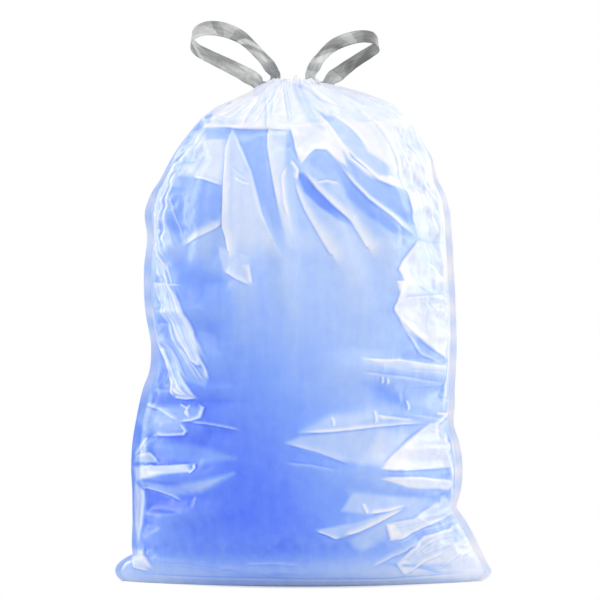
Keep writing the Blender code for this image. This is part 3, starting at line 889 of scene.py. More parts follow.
# Folds of the bag's front: those that fan out of the neck, then down the left side, then the right
FOLDS = (
    Fold(((266, 86), (268, 110), (269, 150), (276, 190), (283, 225)), RIGHT, 3, 8, 0.0028, 0.85),
    Fold(((291, 128), (294, 142), (296, 152), (301, 167)), RIGHT, 5, 10, 0.0045, 0.97),
    Fold(((301, 167), (307, 158), (314, 152), (326, 153), (338, 166)), ABOVE, 4, 8, 0.0036, 0.97),
    Fold(((315, 106), (327, 127), (342, 152), (348, 162), (372, 180), (384, 186)), BELOW, 2, 6, 0.0036,
        0.97),
    Fold(((348, 158), (362, 169), (376, 182), (397, 191)), ABOVE, 2, 5, 0.0026, 0.92),
    Fold(((358, 104), (373, 122), (390, 145), (397, 162), (405, 187), (415, 220), (421, 238)), RIGHT, 2,
        6, 0.004, 0.98),
    Fold(((295, 180), (299, 196), (305, 211), (318, 234), (330, 254)), RIGHT, 2, 18, 0.0045, 0.84,
        open_end=True),
    Fold(((303, 172), (316, 190), (332, 207), (350, 222), (366, 247)), ABOVE, 3, 17, 0.0045, 0.86,
        open_end=True),
    Fold(((337, 166), (352, 186), (366, 201), (404, 229), (421, 240)), ABOVE, 2, 8, 0.0042, 0.9),
    Fold(((330, 112), (352, 132), (368, 152)), RIGHT, 2, 5, 0.002, 0.92, strength=0.6),
    Fold(((408, 130), (424, 168), (436, 214)), RIGHT, 2, 5, 0.0018, 0.97, strength=0.5),
    Fold(((398, 140), (414, 176), (428, 224)), LEFT, 2, 5, 0.0018, 0.97, strength=0.5),
    Fold(((233, 130), (228, 151), (225, 190), (223, 229), (229, 251)), RIGHT, 2, 12, 0.005, 0.88,
        open_end=True),
    Fold(((233, 130), (240, 148), (253, 175), (262, 215), (272, 238)), LEFT, 1, 8, 0.0024, 0.84,
        strength=0.5),
    Fold(((222, 271), (236, 278), (253, 285)), ABOVE, 10, 3, 0.003, 0.84),
    Fold(((250, 264), (252, 276), (253, 285)), LEFT, 8, 3, 0.0026, 0.84),
    Fold(((232, 170), (242, 178), (250, 184)), BELOW, 2, 3, 0.0016, 0.7, strength=0.6),
    Fold(((236, 180), (246, 186), (254, 188)), BELOW, 2, 3, 0.0014, 0.92, strength=0.6),
    Fold(((223, 222), (216, 229), (198, 238), (179, 247)), ABOVE, 14, 6, 0.0034, 0.8),
    Fold(((192, 178), (206, 181), (224, 187)), ABOVE, 2, 3, 0.0016, 0.84),
    Fold(((288, 168), (283, 180), (285, 206), (290, 222)), RIGHT, 2, 5, 0.0022, 0.88),
    Fold(((290, 162), (298, 172), (297, 184)), LEFT, 3, 6, 0.0034, 0.95),
    Fold(((315, 186), (326, 184), (338, 186)), BELOW, 3, 4, 0.0016, 0.8),
    Fold(((217, 128), (233, 129), (260, 130), (291, 132)), ABOVE, 5, 5, 0.0018, 0.98, 1.6),
    Fold(((223, 110), (240, 101), (262, 90)), ABOVE, 3, 3, 0.002, 0.95),
    Fold(((214, 119), (236, 106), (262, 94)), ABOVE, 3, 3, 0.0018, 0.95),
    Fold(((262, 92), (248, 112), (241, 127)), LEFT, 3, 7, 0.0024, 0.98),
    Fold(((282, 88), (284, 104), (287, 122)), LEFT, 3, 6, 0.0028, 0.96),
    Fold(((310, 88), (322, 98), (340, 106)), ABOVE, 3, 5, 0.0024, 0.97),
    Fold(((189, 144), (173, 165), (165, 190), (160, 212), (158, 229), (162, 249), (169, 268)), LEFT, 2,
        4, 0.0036, 0.84),
    Fold(((180, 162), (171, 181), (165, 216), (163, 240), (171, 256)), RIGHT, 2, 3, 0.0022, 0.86),
    Fold(((152, 200), (157, 241), (165, 276), (181, 308), (196, 341), (208, 366)), LEFT, 2, 6, 0.005,
        0.88),
    Fold(((145, 221), (153, 245), (162, 262), (170, 277)), RIGHT, 2, 2, 0.002, 0.84),
    Fold(((153, 283), (168, 284), (183, 285)), BELOW, 2, 2, 0.0016, 0.8, 1.4),
    Fold(((150, 300), (155, 331), (167, 365), (169, 379)), RIGHT, 3, 4, 0.004, 0.9),
    Fold(((164, 312), (178, 338), (190, 360), (197, 364), (196, 352)), RIGHT, 2, 3, 0.0026, 0.92),
    Fold(((196, 352), (203, 366), (206, 380)), LEFT, 2, 5, 0.0036, 0.84),
    Fold(((168, 375), (169, 388), (170, 397)), RIGHT, 4, 3, 0.0036, 0.92),
    Fold(((169, 397), (182, 399), (193, 398)), ABOVE, 3, 4, 0.0036, 0.92),
    Fold(((177, 370), (184, 384), (193, 398)), LEFT, 2, 4, 0.0034, 0.9),
    Fold(((170, 372), (176, 386), (186, 397)), LEFT, 2, 3, 0.0026, 0.94),
    Fold(((168, 384), (174, 392), (182, 396)), RIGHT, 2, 3, 0.0022, 0.94),
    Fold(((174, 404), (182, 408), (184, 416)), LEFT, 2, 3, 0.0022, 0.86),
    Fold(((186, 404), (180, 412), (186, 418)), RIGHT, 2, 3, 0.0022, 0.86),
    Fold(((144, 403), (162, 413), (177, 421)), ABOVE, 4, 5, 0.0032, 0.8),
    Fold(((176, 421), (188, 420), (196, 417), (199, 408), (192, 403)), LEFT, 3, 5, 0.0038, 0.86),
    Fold(((177, 421), (184, 431), (182, 434), (165, 435), (146, 435)), ABOVE, 2, 5, 0.0036, 0.88),
    Fold(((146, 435), (143, 443), (134, 457)), LEFT, 3, 3, 0.003, 0.88),
    Fold(((184, 421), (212, 425), (241, 430)), ABOVE, 3, 3, 0.0018, 0.56, 1.4),
    Fold(((134, 457), (147, 453), (155, 464)), BELOW, 3, 4, 0.003, 0.9),
    Fold(((135, 466), (165, 465), (192, 463)), BELOW, 12, 6, 0.0045, 0.88),
    Fold(((190, 462), (193, 467), (190, 473)), LEFT, 3, 5, 0.0026, 0.96),
    Fold(((141, 486), (165, 495), (181, 502)), ABOVE, 3, 3, 0.0024, 0.7, 1.4),
    Fold(((136, 480), (139, 498), (137, 519), (139, 545)), LEFT, 2, 3, 0.0028, 0.82),
    Fold(((132, 551), (134, 567), (150, 571)), RIGHT, 2, 4, 0.0028, 0.92),
    Fold(((141, 548), (144, 556), (151, 568)), LEFT, 2, 4, 0.0026, 0.9),
    Fold(((120, 572), (126, 563), (133, 560)), BELOW, 2, 3, 0.002, 0.84),
    # Painted shade as a dark line along the foot, with a thin painted highlight below it
    Fold(((126, 573), (200, 577), (300, 579), (383, 579), (440, 575), (482, 570)), ABOVE, 2, 2, 0.0006,
        0.4, 1.2, painted_glint=-0.14, strength=0.4),
    Fold(((421, 240), (405, 262), (400, 270), (404, 281)), RIGHT, 3, 5, 0.0034, 0.97),
    Fold(((396, 282), (405, 283)), BELOW, 2, 2, 0.0016, 0.97),
    Fold(((403, 284), (400, 297), (398, 310), (408, 330)), RIGHT, 2, 4, 0.0026, 0.95),
    Fold(((403, 299), (426, 297), (448, 295)), BELOW, 3, 4, 0.0018, 0.93),
    Fold(((402, 318), (428, 342), (448, 360)), ABOVE, 3, 8, 0.0042, 0.97),
    Fold(((428, 262), (436, 268), (444, 284)), LEFT, 2, 4, 0.0016, 0.95),
    Fold(((408, 330), (424, 352), (442, 364)), ABOVE, 2, 4, 0.0018, 0.84, strength=0.6),
    Fold(((360, 358), (400, 360), (446, 367)), BELOW, 3, 9, 0.0045, 0.94),
    Fold(((358, 371), (400, 377), (446, 384)), BELOW, 3, 6, 0.0024, 0.72, strength=0.6),
    Fold(((385, 376), (386, 380), (386, 384)), RIGHT, 2, 2, 0.0016, 0.95),
    Fold(((390, 377), (391, 381), (391, 385)), RIGHT, 2, 2, 0.0016, 0.95),
    Fold(((411, 400), (412, 406), (411, 411)), RIGHT, 2, 2, 0.0016, 0.94),
    Fold(((449, 245), (450, 300), (449, 345), (446, 395), (441, 420)), RIGHT, 2, 3, 0.0026, 0.88),
    Fold(((374, 409), (376, 416), (376, 423)), RIGHT, 3, 4, 0.0024, 0.98),
    Fold(((376, 414), (395, 417), (417, 420)), BELOW, 5, 3, 0.0024, 0.92),
    Fold(((331, 416), (333, 420), (333, 426)), RIGHT, 2, 3, 0.0018, 0.86),
    Fold(((294, 432), (331, 430), (382, 425), (437, 422)), ABOVE, 3, 6, 0.0036, 0.92),
    Fold(((284, 442), (316, 450), (352, 464)), ABOVE, 2, 9, 0.0034, 0.7, strength=0.5),
    Fold(((284, 462), (310, 464), (340, 470)), BELOW, 4, 6, 0.0024, 0.4, strength=0.6),
    Fold(((379, 467), (406, 446), (435, 423)), BELOW, 2, 8, 0.0044, 0.98),
    Fold(((379, 468), (415, 469), (452, 468)), ABOVE, 2, 5, 0.003, 0.97),
    Fold(((379, 476), (420, 477), (453, 481)), BELOW, 2, 7, 0.0042, 0.97),
    Fold(((362, 502), (364, 507), (366, 512)), RIGHT, 3, 3, 0.0022, 0.98),
    Fold(((366, 511), (385, 508), (404, 503)), ABOVE, 5, 2, 0.0024, 0.92),
    Fold(((316, 531), (330, 536), (342, 539)), ABOVE, 2, 4, 0.0028, 0.8),
    Fold(((341, 539), (347, 534), (372, 521), (404, 505)), ABOVE, 6, 7, 0.0038, 0.92),
    Fold(((385, 522), (388, 531), (391, 542)), RIGHT, 4, 6, 0.0034, 0.98),
    Fold(((385, 523), (413, 519), (447, 499)), BELOW, 3, 6, 0.0026, 0.86, strength=0.5),
    Fold(((391, 541), (423, 527), (451, 514)), ABOVE, 3, 5, 0.003, 0.92),
    Fold(((370, 568), (403, 550), (424, 538)), ABOVE, 3, 6, 0.0026, 0.74, strength=0.8),
    Fold(((396, 562), (401, 569), (406, 575)), RIGHT, 4, 5, 0.0032, 0.98),
    Fold(((397, 563), (423, 537), (450, 529), (465, 520)), BELOW, 3, 5, 0.0034, 0.92),
    Fold(((406, 574), (424, 561), (446, 551)), ABOVE, 2, 4, 0.0024, 0.94),
    Fold(((456, 517), (465, 526), (475, 540), (485, 556), (488, 570)), LEFT, 3, 4, 0.0028, 0.9),
    Fold(((464, 536), (470, 542), (475, 550)), LEFT, 2, 6, 0.0024, 0.97),
    Fold(((453, 411), (446, 416), (439, 424), (443, 440)), LEFT, 3, 5, 0.0034, 0.97),
    Fold(((436, 412), (446, 414), (455, 409)), BELOW, 2, 3, 0.0024, 0.97),
    Fold(((451, 425), (458, 459), (456, 494), (454, 509)), RIGHT, 2, 3, 0.0022, 0.86),
    Fold(((446, 430), (451, 462), (452, 484)), LEFT, 2, 3, 0.002, 0.97),
)

# The bag's outline: a row of the photograph, the columns of its left and right edges there, and
# its reach to the front and rear in metres. The corners and the gathered waist are left out.
OUTLINE = (
    (582, 143, 451, 0.070),
    (575, 138, 457, 0.084),
    (552, 132, 460, 0.104),
    (522, 132, 459, 0.119),
    (508, 132, 457, 0.126),
    (492, 132, 461, 0.131),
    (468, 131, 463, 0.137),
    (444, 132, 460, 0.140),
    (424, 135, 454, 0.142),
    (404, 139, 455, 0.144),
    (388, 143, 455, 0.145),
    (372, 149, 456, 0.145),
    (348, 151, 457, 0.146),
    (308, 145, 456, 0.146),
    (268, 144, 454, 0.144),
    (236, 147, 452, 0.141),
    (212, 145, 450, 0.138),
    (196, 150, 446, 0.135),
    (180, 160, 438, 0.131),
    (156, 173, 431, 0.121),
    (140, 184, 421, 0.110),
    (124, 197, 412, 0.096),
    (116, 205, 405, 0.086),
    (108, 217, 398, 0.073),
    (101, 236, 381, 0.060),
    (95, 250, 362, 0.049),
    (90, 258, 342, 0.039),
)

# The fin of the left seam: heights in metres, its paleness at each, and how far that shows
LEFT_FIN = (
    (0.033, 0.60, 0.50),
    (0.153, 0.45, 0.15),
    (0.243, 0.40, 0.40),
    (0.303, 0.74, 0.85),
)


@dataclass(frozen=True)
class Mouth:
    """The gathered mouth above the waist, out of whose rim the tapes come."""

    offset: float = -0.016
    width: float = 0.078
    depth: float = 0.056
    height: float = 0.013


@dataclass(frozen=True)
class Pleats:
    """The pleats of the gathered mouth, and the fine creases between them."""

    count: int = 19
    wide_creases: int = 47
    narrow_creases: int = 71

    def wave(self, turns: np.ndarray) -> np.ndarray:
        """The pleats, from -1 in a valley to 1 on a ridge, uneven in width and height."""
        sway = 1.3 * np.sin(2 * turns + 0.6) + 0.8 * np.sin(5 * turns)
        return (0.75 + 0.25 * np.sin(3 * turns + 1) * np.sin(7 * turns)) * ridged(self.count * turns + sway)

    def creases(self, turns: np.ndarray) -> np.ndarray:
        """Works out the creases.

        Args:
            turns: The angles at which to look.

        Returns:
            The creases, from -1 in a valley to 1 on a ridge.
        """
        share = turns / (2 * math.pi)
        wide = uneven_wave(self.wide_creases * share + 0.5 * np.sin(3 * turns))
        narrow = uneven_wave(self.narrow_creases * share + 0.8 * np.sin(4 * turns + 2.0))
        return 0.6 * wide + 0.4 * narrow


@dataclass(frozen=True)
class Crown:
    """The ruffled lip above the waist, and the pucker that closes its middle."""

    mouth: Mouth = Mouth()
    pleats: Pleats = Pleats()
    lip_rings: int = 8
    pucker_rings: int = 14
    rise: float = 0.6
    throat: float = 0.80
    ruffle: float = 0.10
    ruffle_creases: float = 0.6
    ruffle_rise: float = 0.1
    lip_crease: float = 0.0035
    lip_pleat: float = 0.0015
    peak_turn: float = 1.55 * math.pi
    peak_spread: float = 0.12
    peak_height: float = 0.008
    pucker_width: float = 0.008
    pucker_depth: float = 0.016
    base_tone: float = 0.90
    # Painted highlight on the pleats' and creases' ridges, and painted shade in their valleys
    crease_shading_tone: float = 0.12
    pleat_shading_tone: float = 0.06

    def oval(
        self, turns: np.ndarray, width: float, height: np.ndarray | float, ruffle: float
    ) -> np.ndarray:
        """Shapes one ring of the lip or the pucker.

        Args:
            turns: The angle of each of its points.
            width: Its width in metres.
            height: Its height above the waist.
            ruffle: How far the pleats swing it in and out.

        Returns:
            Its points.
        """
        creases = self.ruffle_creases * ruffle * self.pleats.creases(turns)
        swing = 1 + ruffle * self.pleats.wave(turns) + creases
        depth = width * self.mouth.depth / self.mouth.width
        x = self.mouth.offset + width / 2 * swing * np.cos(turns)
        y = depth / 2 * swing * np.sin(turns)
        rise = self.ruffle_rise * ruffle * self.mouth.height * swing
        return np.stack([x, y, WAIST + height + rise], axis=1)

    def rings(self, turns: np.ndarray) -> np.ndarray:
        """Makes the lip, and then the pucker inside it.

        Args:
            turns: The angles of each ring's points.

        Returns:
            The points, ring by ring from the waist inwards.
        """
        lip = self.lip_crease * self.pleats.creases(turns) + self.lip_pleat * self.pleats.wave(turns)
        lip = lip + self.peak_height * np.exp(-(((turns - self.peak_turn) / self.peak_spread) ** 2))
        top = self.rise * self.mouth.height
        rings = []
        for share in np.linspace(0.0, 1.0, self.lip_rings + 1)[1:]:
            turn = share * math.pi / 2
            width = self.mouth.width * (self.throat + (1 - self.throat) * math.cos(turn))
            height = top * math.sin(turn) + lip * share**2
            rings.append(self.oval(turns, width, height, self.ruffle))
        for share in np.linspace(0.0, 1.0, self.pucker_rings + 1)[1:]:
            width = self.mouth.width * self.throat * (1 - share) + self.pucker_width * share
            drop = self.pucker_depth * ease(1.6 * share - 0.5)
            height = top - drop + lip * (1 - share) ** 2
            rings.append(self.oval(turns, width, height, self.ruffle * (1 - share) ** 0.5))
        return np.array(rings)

    def tone(self, turns: np.ndarray) -> np.ndarray:
        """The paleness of each ring's points."""
        # Painted highlight on the ridges and painted shade in the valleys
        ruffled = self.crease_shading_tone * self.pleats.creases(turns) + self.pleat_shading_tone * self.pleats.wave(turns)
        return self.base_tone + ruffled


@dataclass(frozen=True)
class DeepBlue:
    """The film's paleness before its folds: deep blue low in the middle, paler around it.

    Columns, rows and reaches are pixels of the photograph.
    """

    column: float = 246.0
    row: float = 512.0
    left: float = 150.0
    right: float = 125.0
    up: float = 185.0
    down: float = 70.0
    lean: float = 0.20
    tone: float = 0.03
    rise: float = 0.52
    # A painted lift of light along the foot, which faces down into shade
    foot_row: float = 550.0
    foot_rows: float = 22.0
    painted_foot_light: float = 0.19

    def at(self, pixels: np.ndarray) -> np.ndarray:
        """Works out the paleness.

        Args:
            pixels: The column and row of each point of the film.

        Returns:
            The paleness, from 0 to 1.
        """
        column, row = pixels[..., 0], pixels[..., 1]
        over = self.row - row
        beside = column - self.column + self.lean * over
        beside = np.where(beside < 0, beside / self.left, beside / self.right)
        over = np.where(over > 0, over / self.up, over / self.down)
        # Painted light: the foot is made paler, against the shade it falls in
        foot = self.painted_foot_light * ease((row - self.foot_row) / self.foot_rows)
        return self.tone + self.rise * (1 - np.exp(-(beside**2 + over**2))) + foot


@dataclass(frozen=True)
class Buckling:
    """A cloth simulation in which the film grows, so that it buckles between what holds it."""

    coarse: int = 6
    frames: int = 22
    growth: float = 0.055
    pressure: float = 0.6
    limit: float = 0.007
    mass: float = 0.05
    tension: float = 18.0
    shear: float = 8.0
    bending: float = 0.08
    quality: int = 6

    def moves(self, points: np.ndarray, held: np.ndarray) -> np.ndarray:
        """Runs the simulation on a coarser film, and spreads its moves over the fine one.

        Args:
            points: The smooth wall's points, ring by ring.
            held: 1 where the film may not move, down to 0 where it is free.

        Returns:
            How far each point of the wall moves.
        """
        rings, turns = points.shape[:2]
        rows, columns = np.arange(0, rings, self.coarse), np.arange(0, turns, self.coarse)
        grid = points[rows][:, columns]
        film = self._film(grid, held[rows][:, columns])
        scene = bpy.context.scene
        for frame in range(1, self.frames + 1):
            scene.frame_set(frame)
        grown = film.evaluated_get(bpy.context.evaluated_depsgraph_get()).to_mesh()
        places = np.empty(len(grown.vertices) * 3)
        grown.vertices.foreach_get("co", places)
        moved = places.reshape(grid.shape) - grid
        bpy.data.objects.remove(film)
        scene.frame_set(1)
        reach = np.linalg.norm(moved, axis=2, keepdims=True)
        moved = moved * (self.limit * np.tanh(reach / self.limit) / np.maximum(reach, 1e-9))
        LOG.info("cloth: the film moves up to %.1f mm", 1000 * float(np.abs(moved).max()))
        count = len(columns)
        tall = smooth_values(np.arange(rings), rows, moved.reshape(len(rows), -1))
        tall = tall.reshape(rings, count, 3).transpose(1, 0, 2).reshape(count, -1)
        closed = np.concatenate([tall[-2:], tall, tall[:3]])
        stations = np.arange(-2, count + 3) * self.coarse
        wide = smooth_values(np.arange(turns), stations, closed)
        return wide.reshape(turns, rings, 3).transpose(1, 0, 2)

    def _film(self, grid: np.ndarray, held: np.ndarray) -> bpy.types.Object:
        """Makes the coarse film, pinned and ready to run.

        Args:
            grid: Its points, ring by ring.
            held: How far each point is held, from 0 to 1.

        Returns:
            The film, with its Cloth modifier.
        """
        mesh = bpy.data.meshes.new("buckling_film")
        mesh.from_pydata(grid.reshape(-1, 3).tolist(), [], ring_quads(*grid.shape[:2]))
        film = add_object("buckling_film", mesh)
        pins = film.vertex_groups.new(name="held")
        for index, weight in enumerate(held.ravel()):
            pins.add([index], float(weight), "REPLACE")
        cloth = film.modifiers.new("cloth", "CLOTH").settings
        cloth.vertex_group_mass = pins.name
        cloth.quality = self.quality
        cloth.mass = self.mass
        cloth.tension_stiffness = cloth.compression_stiffness = self.tension
        cloth.shear_stiffness = self.shear
        cloth.bending_stiffness = self.bending
        cloth.shrink_min = cloth.shrink_max = -self.growth
        cloth.use_pressure = True
        cloth.uniform_pressure_force = self.pressure
        cloth.effector_weights.gravity = 0.0
        return film


@dataclass
class Wall:
    """The bag's wall from the floor to the waist, with one row for each ring of points.

    The turns are the angles of a ring's points. A station holds a ring's height and its reach to
    the left, to the right and in depth. Only the tone and the heights change as it is dressed.
    """

    turns: np.ndarray
    stations: np.ndarray
    from_waist: np.ndarray
    points: np.ndarray
    outward: np.ndarray
    pixels: np.ndarray
    front: np.ndarray
    gathered: np.ndarray
    pinch: np.ndarray
    tone: np.ndarray
    heights: np.ndarray


@dataclass
class FilmBag:
    """The bag's film, from its flat underside up to the ruffled crown that the tapes gather."""

    view: PhotoView
    mouth: Mouth = Mouth()
    pleats: Pleats = Pleats()
    crown: Crown = Crown()
    deep_blue: DeepBlue = DeepBlue()
    buckling: Buckling = Buckling()
    front_segments: int = 480
    rear_segments: int = 240
    wall_rings: int = 541
    underside_rings: tuple[float, ...] = (0.25, 0.5, 0.75, 0.92)

    base_width: float = 0.566
    left_corner_height: float = 0.041
    left_corner_roundness: float = 2.2
    right_corner_height: float = 0.112
    right_corner_roundness: float = 1.0
    corner_tip_height: float = 0.016
    corner_sharpness: int = 5
    tip_undercut: float = 0.25
    flat_foot: float = 0.032
    still_foot: float = 0.080

    seam_fin: float = 0.009
    seam_fin_foot: float = 0.004
    seam_thickness: float = 0.0012
    seam_rounding: float = 0.04
    seam_blend: float = 0.15
    seam_sway: float = 0.006
    seam_sway_length: float = 0.190
    seam_sway_step: float = 0.3
    seam_sway_focus: int = 4
    seam_wrinkle: float = 0.0024
    seam_wrinkle_length: float = 0.052
    wrinkle_step: float = 0.37
    wrinkle_start: float = 0.45
    wrinkle_fade: float = 0.4
    # Painted shade in the side wrinkles' valleys and painted highlight on their ridges
    wrinkle_shading_tone: float = 0.04
    fin_blend: float = 0.05
    # Painted highlight and shade that follow the fins' wrinkles
    fin_wave_shading_tone: float = 0.10
    right_fin_tone: float = 0.92
    right_fin_veil: float = 0.85

    hem_depth: float = 0.126
    hem_edge: float = 0.003
    hem_step: float = 0.0012
    hem_end: float = 288.0
    hem_fade: float = 8.0
    hem_tone: float = 0.93
    hem_veil: float = 0.8

    pleat_reach: float = 0.160
    pleat_height: float = 0.0052
    crease_height: float = 0.0014
    # Painted highlight on the pleats' ridges and painted shade in their valleys, towards the waist
    pleat_shading_tone: float = 0.06
    crease_shading_tone: float = 0.05
    pleat_calm: float = 0.8

    swell_relief: float = 0.75
    # Swells are paler where they stand out: partly film standing off what the bag holds, partly painted
    # highlight
    swell_lift_and_light_tone: float = 8.0
    crisp_relief: float = 0.5
    rear_steep: float = 6.0
    front_seed: int = 3
    rear_seed: int = 8
    # Buckles are paler outward and darker inward: partly film standing off what the bag holds, partly
    # painted light and shade
    buckle_lift_and_light_tone: float = 12.0

    def turns(self) -> np.ndarray:
        """Spaces the points of one ring.

        Returns:
            Their angles: the rear from the right seam to the left, and then the front.
        """
        rear = np.linspace(0.0, math.pi, self.rear_segments, endpoint=False)
        front = np.linspace(math.pi, 2 * math.pi, self.front_segments, endpoint=False)
        return np.concatenate([rear, front])

    def stations(self) -> tuple[np.ndarray, np.ndarray]:
        """Spaces the wall's rings along its slope.

        Returns:
            Height, left, right and depth reach of each ring, and its distance from the waist.
        """
        row, left, right, depth = np.array(OUTLINE).T
        columns = (FLOOR_ROW - row) * PIXEL, (SEAM_COLUMN - left) * PIXEL, (right - SEAM_COLUMN) * PIXEL
        half = self.mouth.width / 2
        top = (WAIST, half - self.mouth.offset, half + self.mouth.offset, self.mouth.depth / 2)
        rows = np.vstack([np.stack([*columns, depth], axis=1), top])
        along = arc_lengths(np.stack([rows[:, 1:].mean(axis=1), rows[:, 0]], axis=1))
        at = np.linspace(0.0, along[-1], self.wall_rings)
        return smooth_values(at, along, rows), along[-1] - at

    def seam_share(self, from_waist: np.ndarray) -> np.ndarray:
        """1 where the side seams stand out as fins, fading to 0 where the hem gathers them."""
        return ease(from_waist / self.hem_depth - 1)

    def seam_pinch(self, height: np.ndarray, from_waist: np.ndarray) -> np.ndarray:
        """Finds where a section leaves its flat fins.

        Args:
            height: Heights above the floor.
            from_waist: Their distances from the waist, along the film.

        Returns:
            A share of the section's reach to the front or rear.
        """
        foot = 1 - ease(height / self.right_corner_height)
        width = self.seam_fin + (self.seam_fin_foot - self.seam_fin) * foot
        fin = width / HALF_WIDTH * self.seam_share(from_waist)
        return np.sqrt(1 - (1 - fin) ** 2)

    def corner_flare(
        self, height: float, body_reach: float, corner_height: float, roundness: float
    ) -> float:
        """Works out how much further a bottom corner reaches than the body does.

        Args:
            height: Height above the floor.
            body_reach: The body's reach to that side, at that height.
            corner_height: Where the corner runs out into the body.
            roundness: 1 for a straight edge above the corner's tip, and more for a rounder one.

        Returns:
            The extra reach in metres.
        """
        reach = max(self.base_width / 2 - body_reach, 0.0)
        tip = self.corner_tip_height
        above = min(max((height - tip) / (corner_height - tip), 0.0), 1.0)
        below = min(max((tip - height) / tip, 0.0), 1.0)
        return reach * (1 - above**roundness) * (1 - self.tip_undercut * below**2)

    def section(self, turns: np.ndarray, station: np.ndarray, from_waist: float) -> np.ndarray:
        """Shapes one level section, pinched to a fin at each side seam.

        Args:
            turns: The angles of its points.
            station: Its height, left, right and depth reach.
            from_waist: Its distance from the waist, along the film.

        Returns:
            Its points.
        """
        height, left, right, depth = station
        across, through = np.cos(turns), np.sin(turns)
        lean = self.mouth.offset * ease(1 - from_waist / self.pleat_reach)
        reach = np.where(across > 0, right - lean, left + lean)
        flare = np.where(
            across > 0,
            self.corner_flare(height, right, self.right_corner_height, self.right_corner_roundness),
            self.corner_flare(height, left, self.left_corner_height, self.left_corner_roundness),
        )
        corner = np.sign(across) * flare * np.abs(across) ** self.corner_sharpness
        pinch = self.seam_pinch(height, from_waist)
        swell = np.clip((np.abs(through) - pinch) / (1 - pinch), 0, 1)
        edge = self.seam_thickness / 2 * np.clip(np.abs(through) / self.seam_rounding, 0, 1)
        y = np.sign(through) * (edge + (depth - edge) * swell)
        upright = self.seam_share(from_waist) * ease(height / self.right_corner_height)
        sway = uneven_wave(height / self.seam_sway_length + self.seam_sway_step * np.sign(across))
        y = y + self.seam_sway * upright * sway * across**self.seam_sway_focus
        return np.stack([lean + across * reach + corner, y, np.full_like(y, height)], axis=1)

    def smooth_wall(self) -> Wall:
        """Makes the wall before it has any folds.

        Returns:
            The wall, with its resting tone.
        """
        turns = self.turns()
        stations, from_waist = self.stations()
        points = np.array([self.section(turns, *ring) for ring in zip(stations, from_waist)])
        round_way = np.roll(points, -1, axis=1) - np.roll(points, 1, axis=1)
        front = np.sin(turns) < 0
        # The rear's pixels are found as if it were folded over onto the front
        folded = np.stack([np.ones_like(turns), np.where(front, 1.0, -1.0), np.ones_like(turns)], axis=1)
        pixels = self.view.pixels(points * folded)
        return Wall(
            turns=turns,
            stations=stations,
            from_waist=from_waist,
            points=points,
            outward=unit(np.cross(round_way, np.gradient(points, axis=0))),
            pixels=pixels,
            front=np.broadcast_to(front, points.shape[:2]),
            gathered=ease(1 - from_waist / self.pleat_reach)[:, None],
            pinch=self.seam_pinch(stations[:, 0], from_waist)[:, None],
            tone=self.deep_blue.at(pixels),
            heights=np.zeros(points.shape[:2]),
        )

    def clear_of_seams(self, wall: Wall, gathered: np.ndarray | float) -> np.ndarray:
        """0 on the side seams and 1 clear of them, or 1 all round where the film is gathered."""
        clear = ease((np.abs(np.sin(wall.turns)) - wall.pinch) / self.seam_blend)
        return 1 - (1 - gathered**2) * (1 - clear)

    def buckled(self, wall: Wall) -> np.ndarray:
        """Buckles the wall where it is free, without blowing it up as a whole.

        Args:
            wall: The smooth wall.

        Returns:
            How far each of its points moves.
        """
        free = self.clear_of_seams(wall, 0.0) * (1 - wall.gathered)
        free = free * ease(wall.points[..., 2] / self.still_foot)
        moved = self.buckling.moves(wall.points, 1 - free) * ease(free)[..., None] ** 2
        swollen = (moved * wall.outward).sum(axis=2)
        return moved - wall.outward * (swollen[free > 0.5].mean() * free)[..., None]

    def lay_broad_forms(self, wall: Wall) -> None:
        """Lays the swells and then the panels over the wall.

        Args:
            wall: The wall, whose tone and heights they change.
        """
        for side, swells in ((wall.front, FRONT_SWELLS), (~wall.front, REAR_SWELLS)):
            for swell in swells:
                lift = self.swell_relief * swell.height * swell.cover(wall.points)
                wall.heights += np.where(side, lift, 0.0)
        # Partly film standing off what the bag holds, partly painted highlight on the ridges
        wall.tone += self.swell_lift_and_light_tone * wall.heights
        for panel in PANELS:
            cover = np.where(wall.front, panel.cover(wall.pixels), 0.0)
            wall.tone += (panel.paleness - wall.tone) * panel.strength * cover
            wall.heights += panel.lift * cover

    @staticmethod
    def crumples(
        seed: int, zones: tuple[Zone, ...], steep: float = 1.6, painted_glint: float = 0.12
    ) -> list[Fold]:
        """Scatters short shallow folds over the zones where the film is crumpled.

        Args:
            seed: The seed of their places.
            zones: The zones, each with its own count and sizes.
            steep: The width in pixels of the folds' steep side.
            painted_glint: The most painted highlight on a fold's crest, over its flank's paleness.

        Returns:
            The folds.
        """
        chance = np.random.default_rng(seed)
        folds = []
        for zone in zones:
            for _ in range(zone.count):
                start = chance.uniform(zone.low, zone.high)
                angle = math.radians(zone.angle + chance.normal(0.0, zone.spread))
                length = chance.uniform(*zone.length)
                bend = chance.normal(0.0, 0.18)
                middle = start + 0.5 * length * np.array([math.cos(angle), math.sin(angle)])
                end = middle + 0.5 * length * np.array([math.cos(angle + bend), math.sin(angle + bend)])
                upright = abs(math.sin(angle)) > 0.7
                flanks = (Flank.LEFT, Flank.RIGHT) if upright else (Flank.ABOVE, Flank.BELOW)
                folds.append(
                    Fold(
                        (tuple(start), tuple(middle), tuple(end)),
                        flanks[int(chance.integers(2))],
                        float(chance.uniform(1, 3)) * zone.width,
                        float(chance.uniform(2, 12)) * zone.width,
                        float(chance.uniform(0.5, 1.0)) * zone.height,
                        float(chance.uniform(*zone.paleness)),
                        steep,
                        # A painted highlight on each crumple's crest, with painted shade in the groove
                        # beside it
                        painted_glint=float(chance.uniform(0.25, 1.0)) * painted_glint,
                        strength=0.55,
                    )
                )
        return folds

